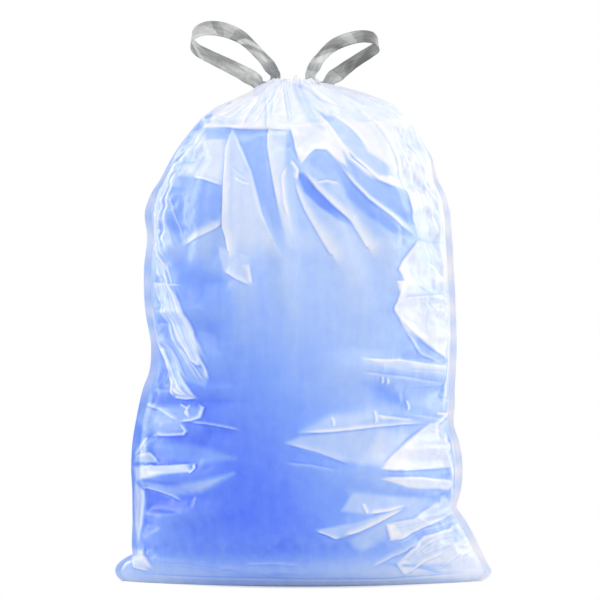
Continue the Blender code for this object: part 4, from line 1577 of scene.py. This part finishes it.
    def press(self, wall: Wall, side: np.ndarray, folds: list[Fold]) -> None:
        """Presses folds into the front or the rear.

        Args:
            wall: The wall, whose tone and heights they change.
            side: Which of its points are on that side.
            folds: The folds, in order.
        """
        pixels, tone, heights = wall.pixels[side], wall.tone[side], wall.heights[side]
        for fold in folds:
            margin = max(fold.start_width, fold.end_width, fold.steep) + 1
            low = np.min(fold.line, axis=0) - margin
            high = np.max(fold.line, axis=0) + margin
            near = np.all((pixels > low) & (pixels < high), axis=-1)
            # Each fold lays its paleness, partly painted highlight and shade, then its painted crest
            # highlight and groove shade
            relief, veil, painted_glint_and_shade = fold.profile(pixels[near])
            heights[near] += self.crisp_relief * fold.height * relief
            tone[near] += (fold.paleness - tone[near]) * veil + painted_glint_and_shade
        wall.tone[side], wall.heights[side] = tone, heights

    def press_both_sides(self, wall: Wall) -> None:
        """Presses the crumples, the bundles and the single folds into the front and the rear.

        Args:
            wall: The wall, whose tone and heights they change.
        """
        bundled = [fold for bundle in BUNDLES for fold in bundle.folds()]
        crumpled = self.crumples(self.front_seed, FRONT_ZONES)
        self.press(wall, wall.front, [*crumpled, *bundled, *FOLDS])
        self.press(wall, ~wall.front, self.crumples(self.rear_seed, REAR_ZONES, self.rear_steep, 0.0))

    def side_wave(self, wall: Wall) -> np.ndarray:
        """Level wrinkles down the sides, from -1 to 1, out of step with one another."""
        side = np.sign(np.cos(wall.turns)) + 0.5 * np.sign(np.sin(wall.turns))
        return uneven_wave(wall.stations[:, :1] / self.seam_wrinkle_length + self.wrinkle_step * side)

    def wrinkle_sides(self, wall: Wall) -> None:
        """Wrinkles the film beside the seams.

        Args:
            wall: The wall, whose tone and heights change.
        """
        near_seam = 1 - ease((np.abs(np.sin(wall.turns)) - self.wrinkle_start) / self.wrinkle_fade)
        wave = near_seam * self.side_wave(wall)
        wall.heights += self.seam_wrinkle * wave
        # Painted highlight on the wrinkles' ridges and painted shade in their valleys
        wall.tone += self.wrinkle_shading_tone * wave * (1 - wall.gathered)

    def gather(self, wall: Wall) -> None:
        """Pleats the film towards the waist.

        Args:
            wall: The wall, whose tone and heights change.
        """
        pleats, creases = self.pleats.wave(wall.turns), self.pleats.creases(wall.turns)
        relief = self.pleat_height * pleats + self.crease_height * creases
        wall.heights *= 1 - self.pleat_calm * wall.gathered
        wall.heights += wall.gathered * relief
        # Painted highlight on the pleats' ridges and painted shade in their valleys
        wall.tone += wall.gathered * (self.pleat_shading_tone * pleats + self.crease_shading_tone * creases)

    def lay_hem(self, wall: Wall) -> None:
        """Raises the hem, which the front shows only left of its end, and pales it at the rear.

        Args:
            wall: The wall, whose tone and heights change.
        """
        in_hem = ease((self.hem_depth - wall.from_waist) / self.hem_edge + 0.5)[:, None]
        past_end = ease((wall.pixels[..., 0] - self.hem_end) / self.hem_fade)
        wall.heights += self.hem_step * in_hem * (1 - np.where(wall.front, past_end, 0.0))
        rear_hem = np.where(wall.front, 0.0, in_hem)
        wall.tone += (self.hem_tone - wall.tone) * self.hem_veil * rear_hem

    def tint_fins(self, wall: Wall) -> None:
        """Tints the fins of the seams, the left one by height.

        Args:
            wall: The wall, whose tone changes.
        """
        fin = 1 - ease((np.abs(np.sin(wall.turns)) - wall.pinch) / self.fin_blend)
        fin = fin * self.seam_share(wall.from_waist)[:, None]
        rises, tones, veils = np.array(LEFT_FIN).T
        height, right = wall.points[..., 2], np.cos(wall.turns) > 0
        tone = np.where(right, self.right_fin_tone, np.interp(height, rises, tones))
        # Painted highlight and shade along the fins' wrinkles
        tone = tone + self.fin_wave_shading_tone * self.side_wave(wall)
        veil = np.where(right, self.right_fin_veil, np.interp(height, rises, veils))
        wall.tone += (tone - wall.tone) * veil * fin

    def dressed_wall(self) -> tuple[np.ndarray, np.ndarray]:
        """Makes the wall with all its folds.

        Returns:
            The wall's points, ring by ring from the floor up, and the paleness at each.
        """
        wall = self.smooth_wall()
        moved = self.buckled(wall)
        self.lay_broad_forms(wall)
        self.press_both_sides(wall)
        # Partly film standing off what the bag holds, partly painted light and shade on the buckles
        wall.tone += self.buckle_lift_and_light_tone * (moved * wall.outward).sum(axis=2)
        self.wrinkle_sides(wall)
        self.gather(wall)
        self.lay_hem(wall)
        wall.heights *= self.clear_of_seams(wall, wall.gathered)
        wall.heights *= ease(wall.points[..., 2] / self.flat_foot)
        self.tint_fins(wall)
        return wall.points + moved + wall.outward * wall.heights[..., None], wall.tone

    def build(self, finish: bpy.types.Material) -> bpy.types.Object:
        """Makes the bag.

        Args:
            finish: The film's material.

        Returns:
            The bag, riding on the root body.
        """
        turns = self.turns()
        wall, tone = self.dressed_wall()
        crown = self.crown.rings(turns)
        underside = np.array([wall[0] * (share, share, 1.0) for share in self.underside_rings])
        floor_tone = np.repeat(tone[:1], len(underside), axis=0)
        crown_tone = np.broadcast_to(self.crown.tone(turns), crown.shape[:2])
        rings = np.concatenate([underside, wall, crown])
        tones = np.clip(np.concatenate([floor_tone, tone, crown_tone]), 0.0, 1.0)
        bag = lofted("drawstring_film_bag", rings, tones, finish)
        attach(bag, "root")
        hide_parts("film_bag")
        return bag


def ring_quads(rings: int, count: int) -> list[list[int]]:
    """Joins rings of points with faces.

    Args:
        rings: How many rings there are.
        count: How many points each ring has.

    Returns:
        The four corners of each face, all round and ring by ring.
    """
    index = np.arange(rings * count).reshape(rings, count)
    after = np.roll(index, -1, axis=1)
    return np.stack([index[:-1], after[:-1], after[1:], index[1:]], axis=-1).reshape(-1, 4).tolist()


def lofted(
    name: str, rings: np.ndarray, tones: np.ndarray, finish: bpy.types.Material
) -> bpy.types.Object:
    """Makes a closed mesh through rings, with a fan of triangles at each end.

    Args:
        name: The piece's name.
        rings: Its rings of points, each running the same way round.
        tones: The paleness at each point.
        finish: Its material.

    Returns:
        The piece.
    """
    rows, columns = rings.shape[:2]
    bottom, top, last = rows * columns, rows * columns + 1, (rows - 1) * columns
    pairs = [(index, (index + 1) % columns) for index in range(columns)]
    floor_fan = [(after, index, bottom) for index, after in pairs]
    top_fan = [(last + index, last + after, top) for index, after in pairs]
    points = np.concatenate([rings.reshape(-1, 3), [rings[0].mean(axis=0), rings[-1].mean(axis=0)]])
    paleness = np.concatenate([tones.ravel(), [tones[0].mean(), tones[-1].mean()]])
    mesh = bpy.data.meshes.new(name)
    mesh.from_pydata(points.tolist(), [], ring_quads(rows, columns) + floor_fan + top_fan)
    store(mesh, "paleness", paleness)
    mesh.materials.append(finish)
    mesh.shade_smooth()
    return add_object(name, mesh)


class Recipe:
    """A Geometry Nodes tree with named inputs, run once on one mesh."""

    def __init__(self, name: str, inputs: dict[str, tuple[str, object]]) -> None:
        """Starts a tree.

        Args:
            name: The tree's name.
            inputs: A socket type and a value for each named input.
        """
        self.inputs = inputs
        self.tree = bpy.data.node_groups.new(name, "GeometryNodeTree")
        face = self.tree.interface
        face.new_socket("Geometry", in_out="INPUT", socket_type="NodeSocketGeometry")
        face.new_socket("Geometry", in_out="OUTPUT", socket_type="NodeSocketGeometry")
        self.sockets = {
            label: face.new_socket(label, in_out="INPUT", socket_type=kind)
            for label, (kind, _) in inputs.items()
        }
        self.sketch = Sketch(self.tree)
        self.start = self.tree.nodes.new("NodeGroupInput")

    def given(self, label: str) -> Value:
        """One of the tree's inputs."""
        return Value(self.tree, self.start.outputs[label])

    def vector(self, operation: str, first: Value, second: Value) -> Value:
        """Adds a Vector Math node, which scales the first where that is its operation."""
        operands = {0: first, "Scale" if operation == "SCALE" else 1: second}
        return self.sketch.node("ShaderNodeVectorMath", {"operation": operation}, operands)

    def finish(self, shape: Value, material: str) -> None:
        """Ends the tree: smooth faces, real geometry and the material of a named input.

        Args:
            shape: The finished geometry.
            material: The name of the input that holds the material.
        """
        smooth = self.sketch.node("GeometryNodeSetShadeSmooth", values={"Geometry": shape})
        real = self.sketch.node("GeometryNodeRealizeInstances", values={"Geometry": smooth})
        dressed = self.sketch.node(
            "GeometryNodeSetMaterial", values={"Geometry": real, "Material": self.given(material)}
        )
        end = self.tree.nodes.new("NodeGroupOutput")
        self.tree.links.new(dressed.socket, end.inputs["Geometry"])

    def run(self, name: str, mesh: bpy.types.Mesh, thickness: float = 0.0) -> bpy.types.Object:
        """Runs the tree on a mesh.

        Args:
            name: The name of the piece that comes out.
            mesh: The mesh that goes in.
            thickness: A wall to give the result, where it is a bare surface.

        Returns:
            The piece, as a plain mesh.
        """
        source = add_object(name + "_source", mesh)
        modifier = source.modifiers.new(self.tree.name, "NODES")
        modifier.node_group = self.tree
        for label, (_, value) in self.inputs.items():
            modifier[self.sockets[label].identifier] = value
        if thickness:
            wall = source.modifiers.new("wall", "SOLIDIFY")
            wall.thickness = thickness
            wall.offset = 0.0
        graph = bpy.context.evaluated_depsgraph_get()
        result = bpy.data.meshes.new_from_object(source.evaluated_get(graph), depsgraph=graph)
        bpy.data.objects.remove(source)
        result.name = name
        return add_object(name, result)


@dataclass
class DrawTape:
    """One draw tape: a flat strip that comes out of the crown, turns over and goes back in."""

    side: Side
    route: tuple[tuple[float, float, float], ...]
    normal: tuple[float, float, float]
    # Painted highlight and shade at even steps along the tape
    painted_shades: tuple[float, ...]
    mouth: Mouth = Mouth()
    width: float = 0.026
    tucked_width: float = 0.015
    thickness: float = 0.0006
    tuck_depth: float = 0.018
    upper_tuck_lead: float = 0.003
    lower_tuck_lead: float = 0.008
    tuck_spacing: float = 0.020
    tuck_points: int = 5
    upper_tuck_inset: float = 0.013
    lower_tuck_drop: float = 0.014
    widening: float = 1.6
    steps: int = 261
    strips: int = 15
    crinkle: float = 0.0013
    rising_creases: tuple[float, float, float] = (0.55, 0.55, 1.1)
    falling_creases: tuple[float, float, float] = (0.45, -0.60, 0.8)
    # Painted light and shade on the facets between the tape's creases
    rising_facet_painted_light: float = 0.16
    falling_facet_painted_light: float = 0.14
    streak_tone: float = 0.9
    facet_shift: float = -0.15
    patch_slant: float = 30.0
    patch_shift: float = -10.0
    patch_rate: float = 0.37

    def points(self) -> np.ndarray:
        """Joins the free stretch to the straight ends inside the gathered hem.

        Returns:
            The points of the tape's middle line.
        """
        side = self.side.value
        edge = self.mouth.offset + side * self.mouth.width / 2
        y = self.tuck_spacing / 2
        rises = np.linspace(-self.tuck_depth, self.upper_tuck_lead, self.tuck_points)
        leaves = np.linspace(-self.tuck_depth, self.lower_tuck_lead, self.tuck_points)
        upper = [(-side * self.upper_tuck_inset, -y, rise) for rise in rises]
        lower = [(side * leave, y, -self.lower_tuck_drop) for leave in leaves]
        rim = np.array([edge, 0.0, WAIST + self.mouth.height])
        return rim + np.array([*upper, *self.route, *reversed(lower)])

    def spine(self) -> bpy.types.Mesh:
        """Makes the tape's middle line, with what its strip needs at each point.

        Returns:
            A line mesh that carries the half width as a vector, the face direction, the distance
            along, how free the tape is, and its painted highlight and shade.
        """
        points = self.points()
        known = arc_lengths(points)
        at = np.linspace(0.0, known[-1], self.steps)
        route = smooth_values(at, known, points)
        ways = unit(np.gradient(route, axis=0))
        free_upper, free_lower = (
            ease((past - self.tuck_depth) / (self.widening * self.width))[:, None]
            for past in (at, at[-1] - at)
        )
        upright = (1 - free_lower) ** 4
        across = free_upper * (1 - upright) * np.array(self.normal)
        across += (1 - free_upper) * np.array([math.copysign(1.0, self.normal[0]), 0.0, 0.0])
        across += upright * np.array([0.0, 0.0, 1.0])
        across = unit(across - (across * ways).sum(axis=1, keepdims=True) * ways)
        free = (free_upper * free_lower)[:, 0]
        width = self.tucked_width + (self.width - self.tucked_width) * free
        patch = np.minimum(at / at[-1] * len(self.painted_shades), len(self.painted_shades) - 1)
        mesh = bpy.data.meshes.new("tape_spine")
        mesh.from_pydata(route.tolist(), [(step, step + 1) for step in range(self.steps - 1)], [])
        store(mesh, "across", across * width[:, None] / 2)
        store(mesh, "facing", np.cross(ways, across))
        store(mesh, "along", at)
        store(mesh, "free", free)
        store(mesh, "shade", np.array(self.painted_shades)[patch.astype(int)])
        return mesh

    def build(self, name: str, node: str, finish: bpy.types.Material) -> bpy.types.Object:
        """Makes the tape.

        Args:
            name: The piece's name.
            node: The CAD node that it stands for.
            finish: The tape's material.

        Returns:
            The tape, riding on the root body.
        """
        recipe = Recipe(
            name,
            {
                "Steps": ("NodeSocketInt", self.steps),
                "Strips": ("NodeSocketInt", self.strips),
                "Tape Width": ("NodeSocketFloat", self.width),
                "Crinkle Height": ("NodeSocketFloat", self.crinkle),
                "Tape": ("NodeSocketMaterial", finish),
            },
        )
        self._strip(recipe)
        tape = recipe.run(name, self.spine(), self.thickness)
        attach(tape, "root")
        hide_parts(node)
        return tape

    def _strip(self, recipe: Recipe) -> None:
        """Lays a creased strip along the spine, with a tone of painted highlight and shade at each point.

        Args:
            recipe: The tree in the making.
        """
        sketch = recipe.sketch
        steps, strips = recipe.given("Steps"), recipe.given("Strips")
        size = {"Size X": 1.0, "Size Y": 2.0, "Vertices X": steps, "Vertices Y": strips}
        grid = sketch.node("GeometryNodeMeshGrid", values=size)
        place = sketch.node("GeometryNodeInputPosition")
        share, sideways = (
            sketch.node("ShaderNodeSeparateXYZ", values={"Vector": place}, output=axis) for axis in "XY"
        )
        step = ((share + 0.5) * (steps - 1.0)).rounded()
        over = self._sample(recipe, "along", step) / recipe.given("Tape Width")
        wander = self._noise(sketch, over, sideways * 0.5, 0.9, 2.0)
        rising = self._creases(over, sideways, wander, self.rising_creases)
        falling = self._creases(over, sideways, wander, self.falling_creases)
        relief = rising.zigzag(1.0) * 0.6 + falling.zigzag(1.0) * 0.6 - 0.6
        slant = (over * self.patch_rate).zigzag(1.0) * self.patch_slant + self.patch_shift
        # The painted highlights and shade, in patches that run aslant
        shade = self._sample(recipe, "shade", (step + sideways * slant).rounded())
        streak = self._noise(
            sketch, over * 0.45 + sideways * 0.30, sideways * 1.7 - over * 0.15, 1.5, 4.0
        )
        # Painted highlight and shade: each facet between creases lighter or darker
        painted_facet_light = rising.parity() * self.rising_facet_painted_light + falling.parity() * self.falling_facet_painted_light
        painted_facet_light = painted_facet_light + (streak - 0.5) * self.streak_tone + self.facet_shift
        lifted = relief * recipe.given("Crinkle Height") * self._sample(recipe, "free", step)
        across = recipe.vector("SCALE", self._sample(recipe, "across", step, True), sideways)
        facing = recipe.vector("SCALE", self._sample(recipe, "facing", step, True), lifted)
        spine = self._sample(recipe, "position", step, True)
        moved = recipe.vector("ADD", recipe.vector("ADD", spine, across), facing)
        toned = sketch.node(
            "GeometryNodeStoreNamedAttribute",
            {"data_type": "FLOAT", "domain": "POINT"},
            {"Geometry": grid, "Name": "tone", "Value": shade + painted_facet_light},
        )
        strip = sketch.node("GeometryNodeSetPosition", values={"Geometry": toned, "Position": moved})
        recipe.finish(strip, "Tape")

    @staticmethod
    def _creases(
        over: Value, sideways: Value, wander: Value, rates: tuple[float, float, float]
    ) -> Value:
        """A value whose whole steps are creases, which run aslant over the tape and wander."""
        return over * rates[0] + sideways * rates[1] + wander * rates[2]

    @staticmethod
    def _noise(sketch: Sketch, x: Value, y: Value, scale: float, detail: float) -> Value:
        """Adds a noise around 0.5 that is read on the flat tape."""
        return sketch.noise(sketch.node("ShaderNodeCombineXYZ", values={"X": x, "Y": y}), scale, detail)

    @staticmethod
    def _sample(recipe: Recipe, name: str, step: Value, vector: bool = False) -> Value:
        """Reads one of the spine's values.

        Args:
            recipe: The tree in the making.
            name: The attribute's name, or position.
            step: The number of the spine's point.
            vector: Whether it is a vector, and not a number.

        Returns:
            The value at that point.
        """
        kind = {"data_type": "FLOAT_VECTOR" if vector else "FLOAT"}
        if name == "position":
            source = recipe.sketch.node("GeometryNodeInputPosition")
        else:
            source = recipe.sketch.node("GeometryNodeInputNamedAttribute", kind, {"Name": name})
        return recipe.sketch.node(
            "GeometryNodeSampleIndex",
            {**kind, "domain": "POINT"},
            {"Geometry": recipe.given("Geometry"), "Value": source, "Index": step},
        )


@dataclass(frozen=True)
class Softbox:
    """A soft rectangular lamp that faces the bag."""

    name: str
    place: tuple[float, float, float]
    size: tuple[float, float]
    radiance: float
    aim: tuple[float, float, float] = (0.0, 0.0, 0.38)

    def build(self) -> None:
        """Adds the lamp."""
        lamp = bpy.data.lights.new(self.name, "AREA")
        lamp.shape = "RECTANGLE"
        lamp.size, lamp.size_y = self.size
        lamp.energy = self.radiance * math.pi * self.size[0] * self.size[1]
        holder = add_object(self.name, lamp)
        holder.location = self.place
        way = Vector(self.aim) - Vector(self.place)
        holder.rotation_euler = way.to_track_quat("-Z", "Y").to_euler()


@dataclass
class Studio:
    """The plain pale floor, the white surround and the soft lamps."""

    floor_size: float = 24.0
    floor_drop: float = 0.0005
    floor_grey: float = 0.86
    floor_roughness: float = 0.9
    fade_start: float = 0.12
    fade_length: float = 0.11
    fade_depth: float = 2.0
    surround: float = 0.34
    softboxes: tuple[Softbox, ...] = (
        Softbox("key_left", (-2.1, -2.3, 1.9), (1.3, 1.3), 5.0),
        Softbox("key_right", (2.3, -2.0, 1.5), (1.1, 1.4), 4.6),
        Softbox("front_fill", (0.2, -3.6, 2.4), (1.6, 0.8), 3.0),
        Softbox("top", (0.0, -0.3, 2.9), (1.6, 1.2), 3.6),
        Softbox("left_edge", (-2.2, 0.8, 0.9), (0.7, 1.8), 5.0),
        Softbox("right_edge", (2.2, 0.7, 0.9), (0.7, 1.8), 5.0),
        Softbox("rear", (0.4, 2.9, 1.8), (1.6, 1.2), 3.6),
    )

    def build(self) -> None:
        """Adds the floor, the world and the lamps."""
        bpy.context.scene.view_settings.view_transform = "Standard"
        self._world()
        self._floor()
        for softbox in self.softboxes:
            softbox.build()

    @staticmethod
    def _background_ray(sketch: Sketch) -> Value:
        """Tells the rays that show the background: straight, mirrored or through film.

        Args:
            sketch: The tree in the making.

        Returns:
            1 for such a ray, and 0 for any other.
        """
        outputs = ("Is Camera Ray", "Is Glossy Ray", "Is Transmission Ray")
        camera, glossy, through = (
            sketch.node("ShaderNodeLightPath", output=output) for output in outputs
        )
        return (camera + glossy + through) > 0.5

    def _world(self) -> None:
        """Makes the surround white to look at, and dim as a lamp."""
        world = bpy.data.worlds.new("white_surround")
        world.use_nodes = True
        bpy.context.scene.world = world
        sketch = Sketch(world.node_tree)
        strength = self.surround + self._background_ray(sketch) * (1.0 - self.surround)
        background = world.node_tree.nodes["Background"]
        sketch.feed(background, {"Color": (1, 1, 1, 1), "Strength": strength})

    def _floor(self) -> None:
        """Adds the floor, which fades to the white of the surround away from the bag."""
        bm = bmesh.new()
        bmesh.ops.create_grid(bm, x_segments=8, y_segments=8, size=self.floor_size / 2)
        mesh = bpy.data.meshes.new("studio_floor")
        bm.to_mesh(mesh)
        bm.free()
        material, sketch, shader = new_finish("studio_floor")
        grey = (self.floor_grey, self.floor_grey, self.floor_grey, 1.0)
        sketch.feed(shader, {"Base Color": grey, "Roughness": self.floor_roughness})
        place = sketch.node("ShaderNodeTexCoord", output="Object")
        squared = sketch.stretched(place, (1.0, self.fade_depth, 1.0))
        away = sketch.node(
            "ShaderNodeVectorMath", {"operation": "LENGTH"}, {0: squared}, output="Value"
        )
        faded = self.fade_start + self.fade_length
        fade = sketch.node(
            "ShaderNodeMapRange",
            {"interpolation_type": "SMOOTHSTEP"},
            {"Value": away, "From Min": self.fade_start, "From Max": faded},
        )
        white = sketch.node("ShaderNodeEmission", values={"Color": (1, 1, 1, 1), "Strength": 1.0})
        shown = fade * self._background_ray(sketch)
        grey_floor = Value(sketch.tree, shader.outputs[0])
        mixed = sketch.node("ShaderNodeMixShader", values={0: shown, 1: grey_floor, 2: white})
        sketch.feed(sketch.tree.nodes["Material Output"], {"Surface": mixed})
        mesh.materials.append(material)
        floor = add_object("studio_floor", mesh)
        floor.location.z = -self.floor_drop


# The free stretch of each tape, from the crown's rim on its side of the bag, as in the solids
LEFT_ROUTE = (
    (0.010, -0.013, 0.008),
    (0.004, -0.018, 0.016),
    (-0.006, -0.025, 0.028),
    (-0.018, -0.030, 0.041),
    (-0.037, -0.034, 0.058),
    (-0.066, -0.032, 0.070),
    (-0.091, -0.022, 0.072),
    (-0.109, -0.007, 0.064),
    (-0.113, 0.010, 0.052),
    (-0.104, 0.025, 0.041),
    (-0.085, 0.034, 0.031),
    (-0.058, 0.037, 0.018),
    (-0.033, 0.033, 0.005),
    (-0.016, 0.020, -0.006),
)
RIGHT_ROUTE = (
    (-0.011, -0.013, 0.008),
    (-0.007, -0.016, 0.015),
    (-0.001, -0.020, 0.024),
    (0.008, -0.024, 0.035),
    (0.021, -0.029, 0.046),
    (0.041, -0.031, 0.055),
    (0.066, -0.026, 0.060),
    (0.083, -0.012, 0.057),
    (0.089, 0.004, 0.049),
    (0.080, 0.019, 0.040),
    (0.064, 0.028, 0.030),
    (0.046, 0.032, 0.018),
    (0.030, 0.027, 0.006),
    (0.018, 0.016, -0.004),
)

# The painted highlights and shade along each tape, from 0 to 1, at even steps from its upper end to its
# lower one
LEFT_PAINTED_SHADES = (0.4, 0.35, 0.3, 0.55, 0.35, 0.85, 0.25, 0.5, 0.3, 0.62, 0.66, 0.7, 0.3, 0.8, 0.55, 0.5,
               0.45, 0.55, 0.6, 0.5, 0.6, 0.55, 0.5)
RIGHT_PAINTED_SHADES = (0.7, 0.9, 0.6, 0.75, 0.35, 0.15, 0.3, 0.5, 0.15, 0.02, 0.0, 0.08, 0.2, 0.05, 0.0, 0.1,
                0.05, 0.2, 0.5, 0.4, 0.3, 0.2)


def main() -> None:
    """Builds and dresses every piece, and logs how many faces each piece has."""
    logging.basicConfig(level=logging.INFO)
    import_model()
    view = PhotoView()
    view.place_camera()
    Studio().build()
    film, grey = FilmFinish().material(), TapeFinish().material()
    left = DrawTape(Side.LEFT, LEFT_ROUTE, (0.05, 0.60, 0.80), LEFT_PAINTED_SHADES)
    right = DrawTape(Side.RIGHT, RIGHT_ROUTE, (-0.12, 0.68, 0.72), RIGHT_PAINTED_SHADES)
    pieces = [
        FilmBag(view).build(film),
        left.build("left_hand_loop", "left_draw_tape", grey),
        right.build("right_hand_loop", "right_draw_tape", grey),
    ]
    for piece in pieces:
        LOG.info("%s: %d faces", piece.name, len(piece.data.polygons))


if __name__ == "__main__":
    main()
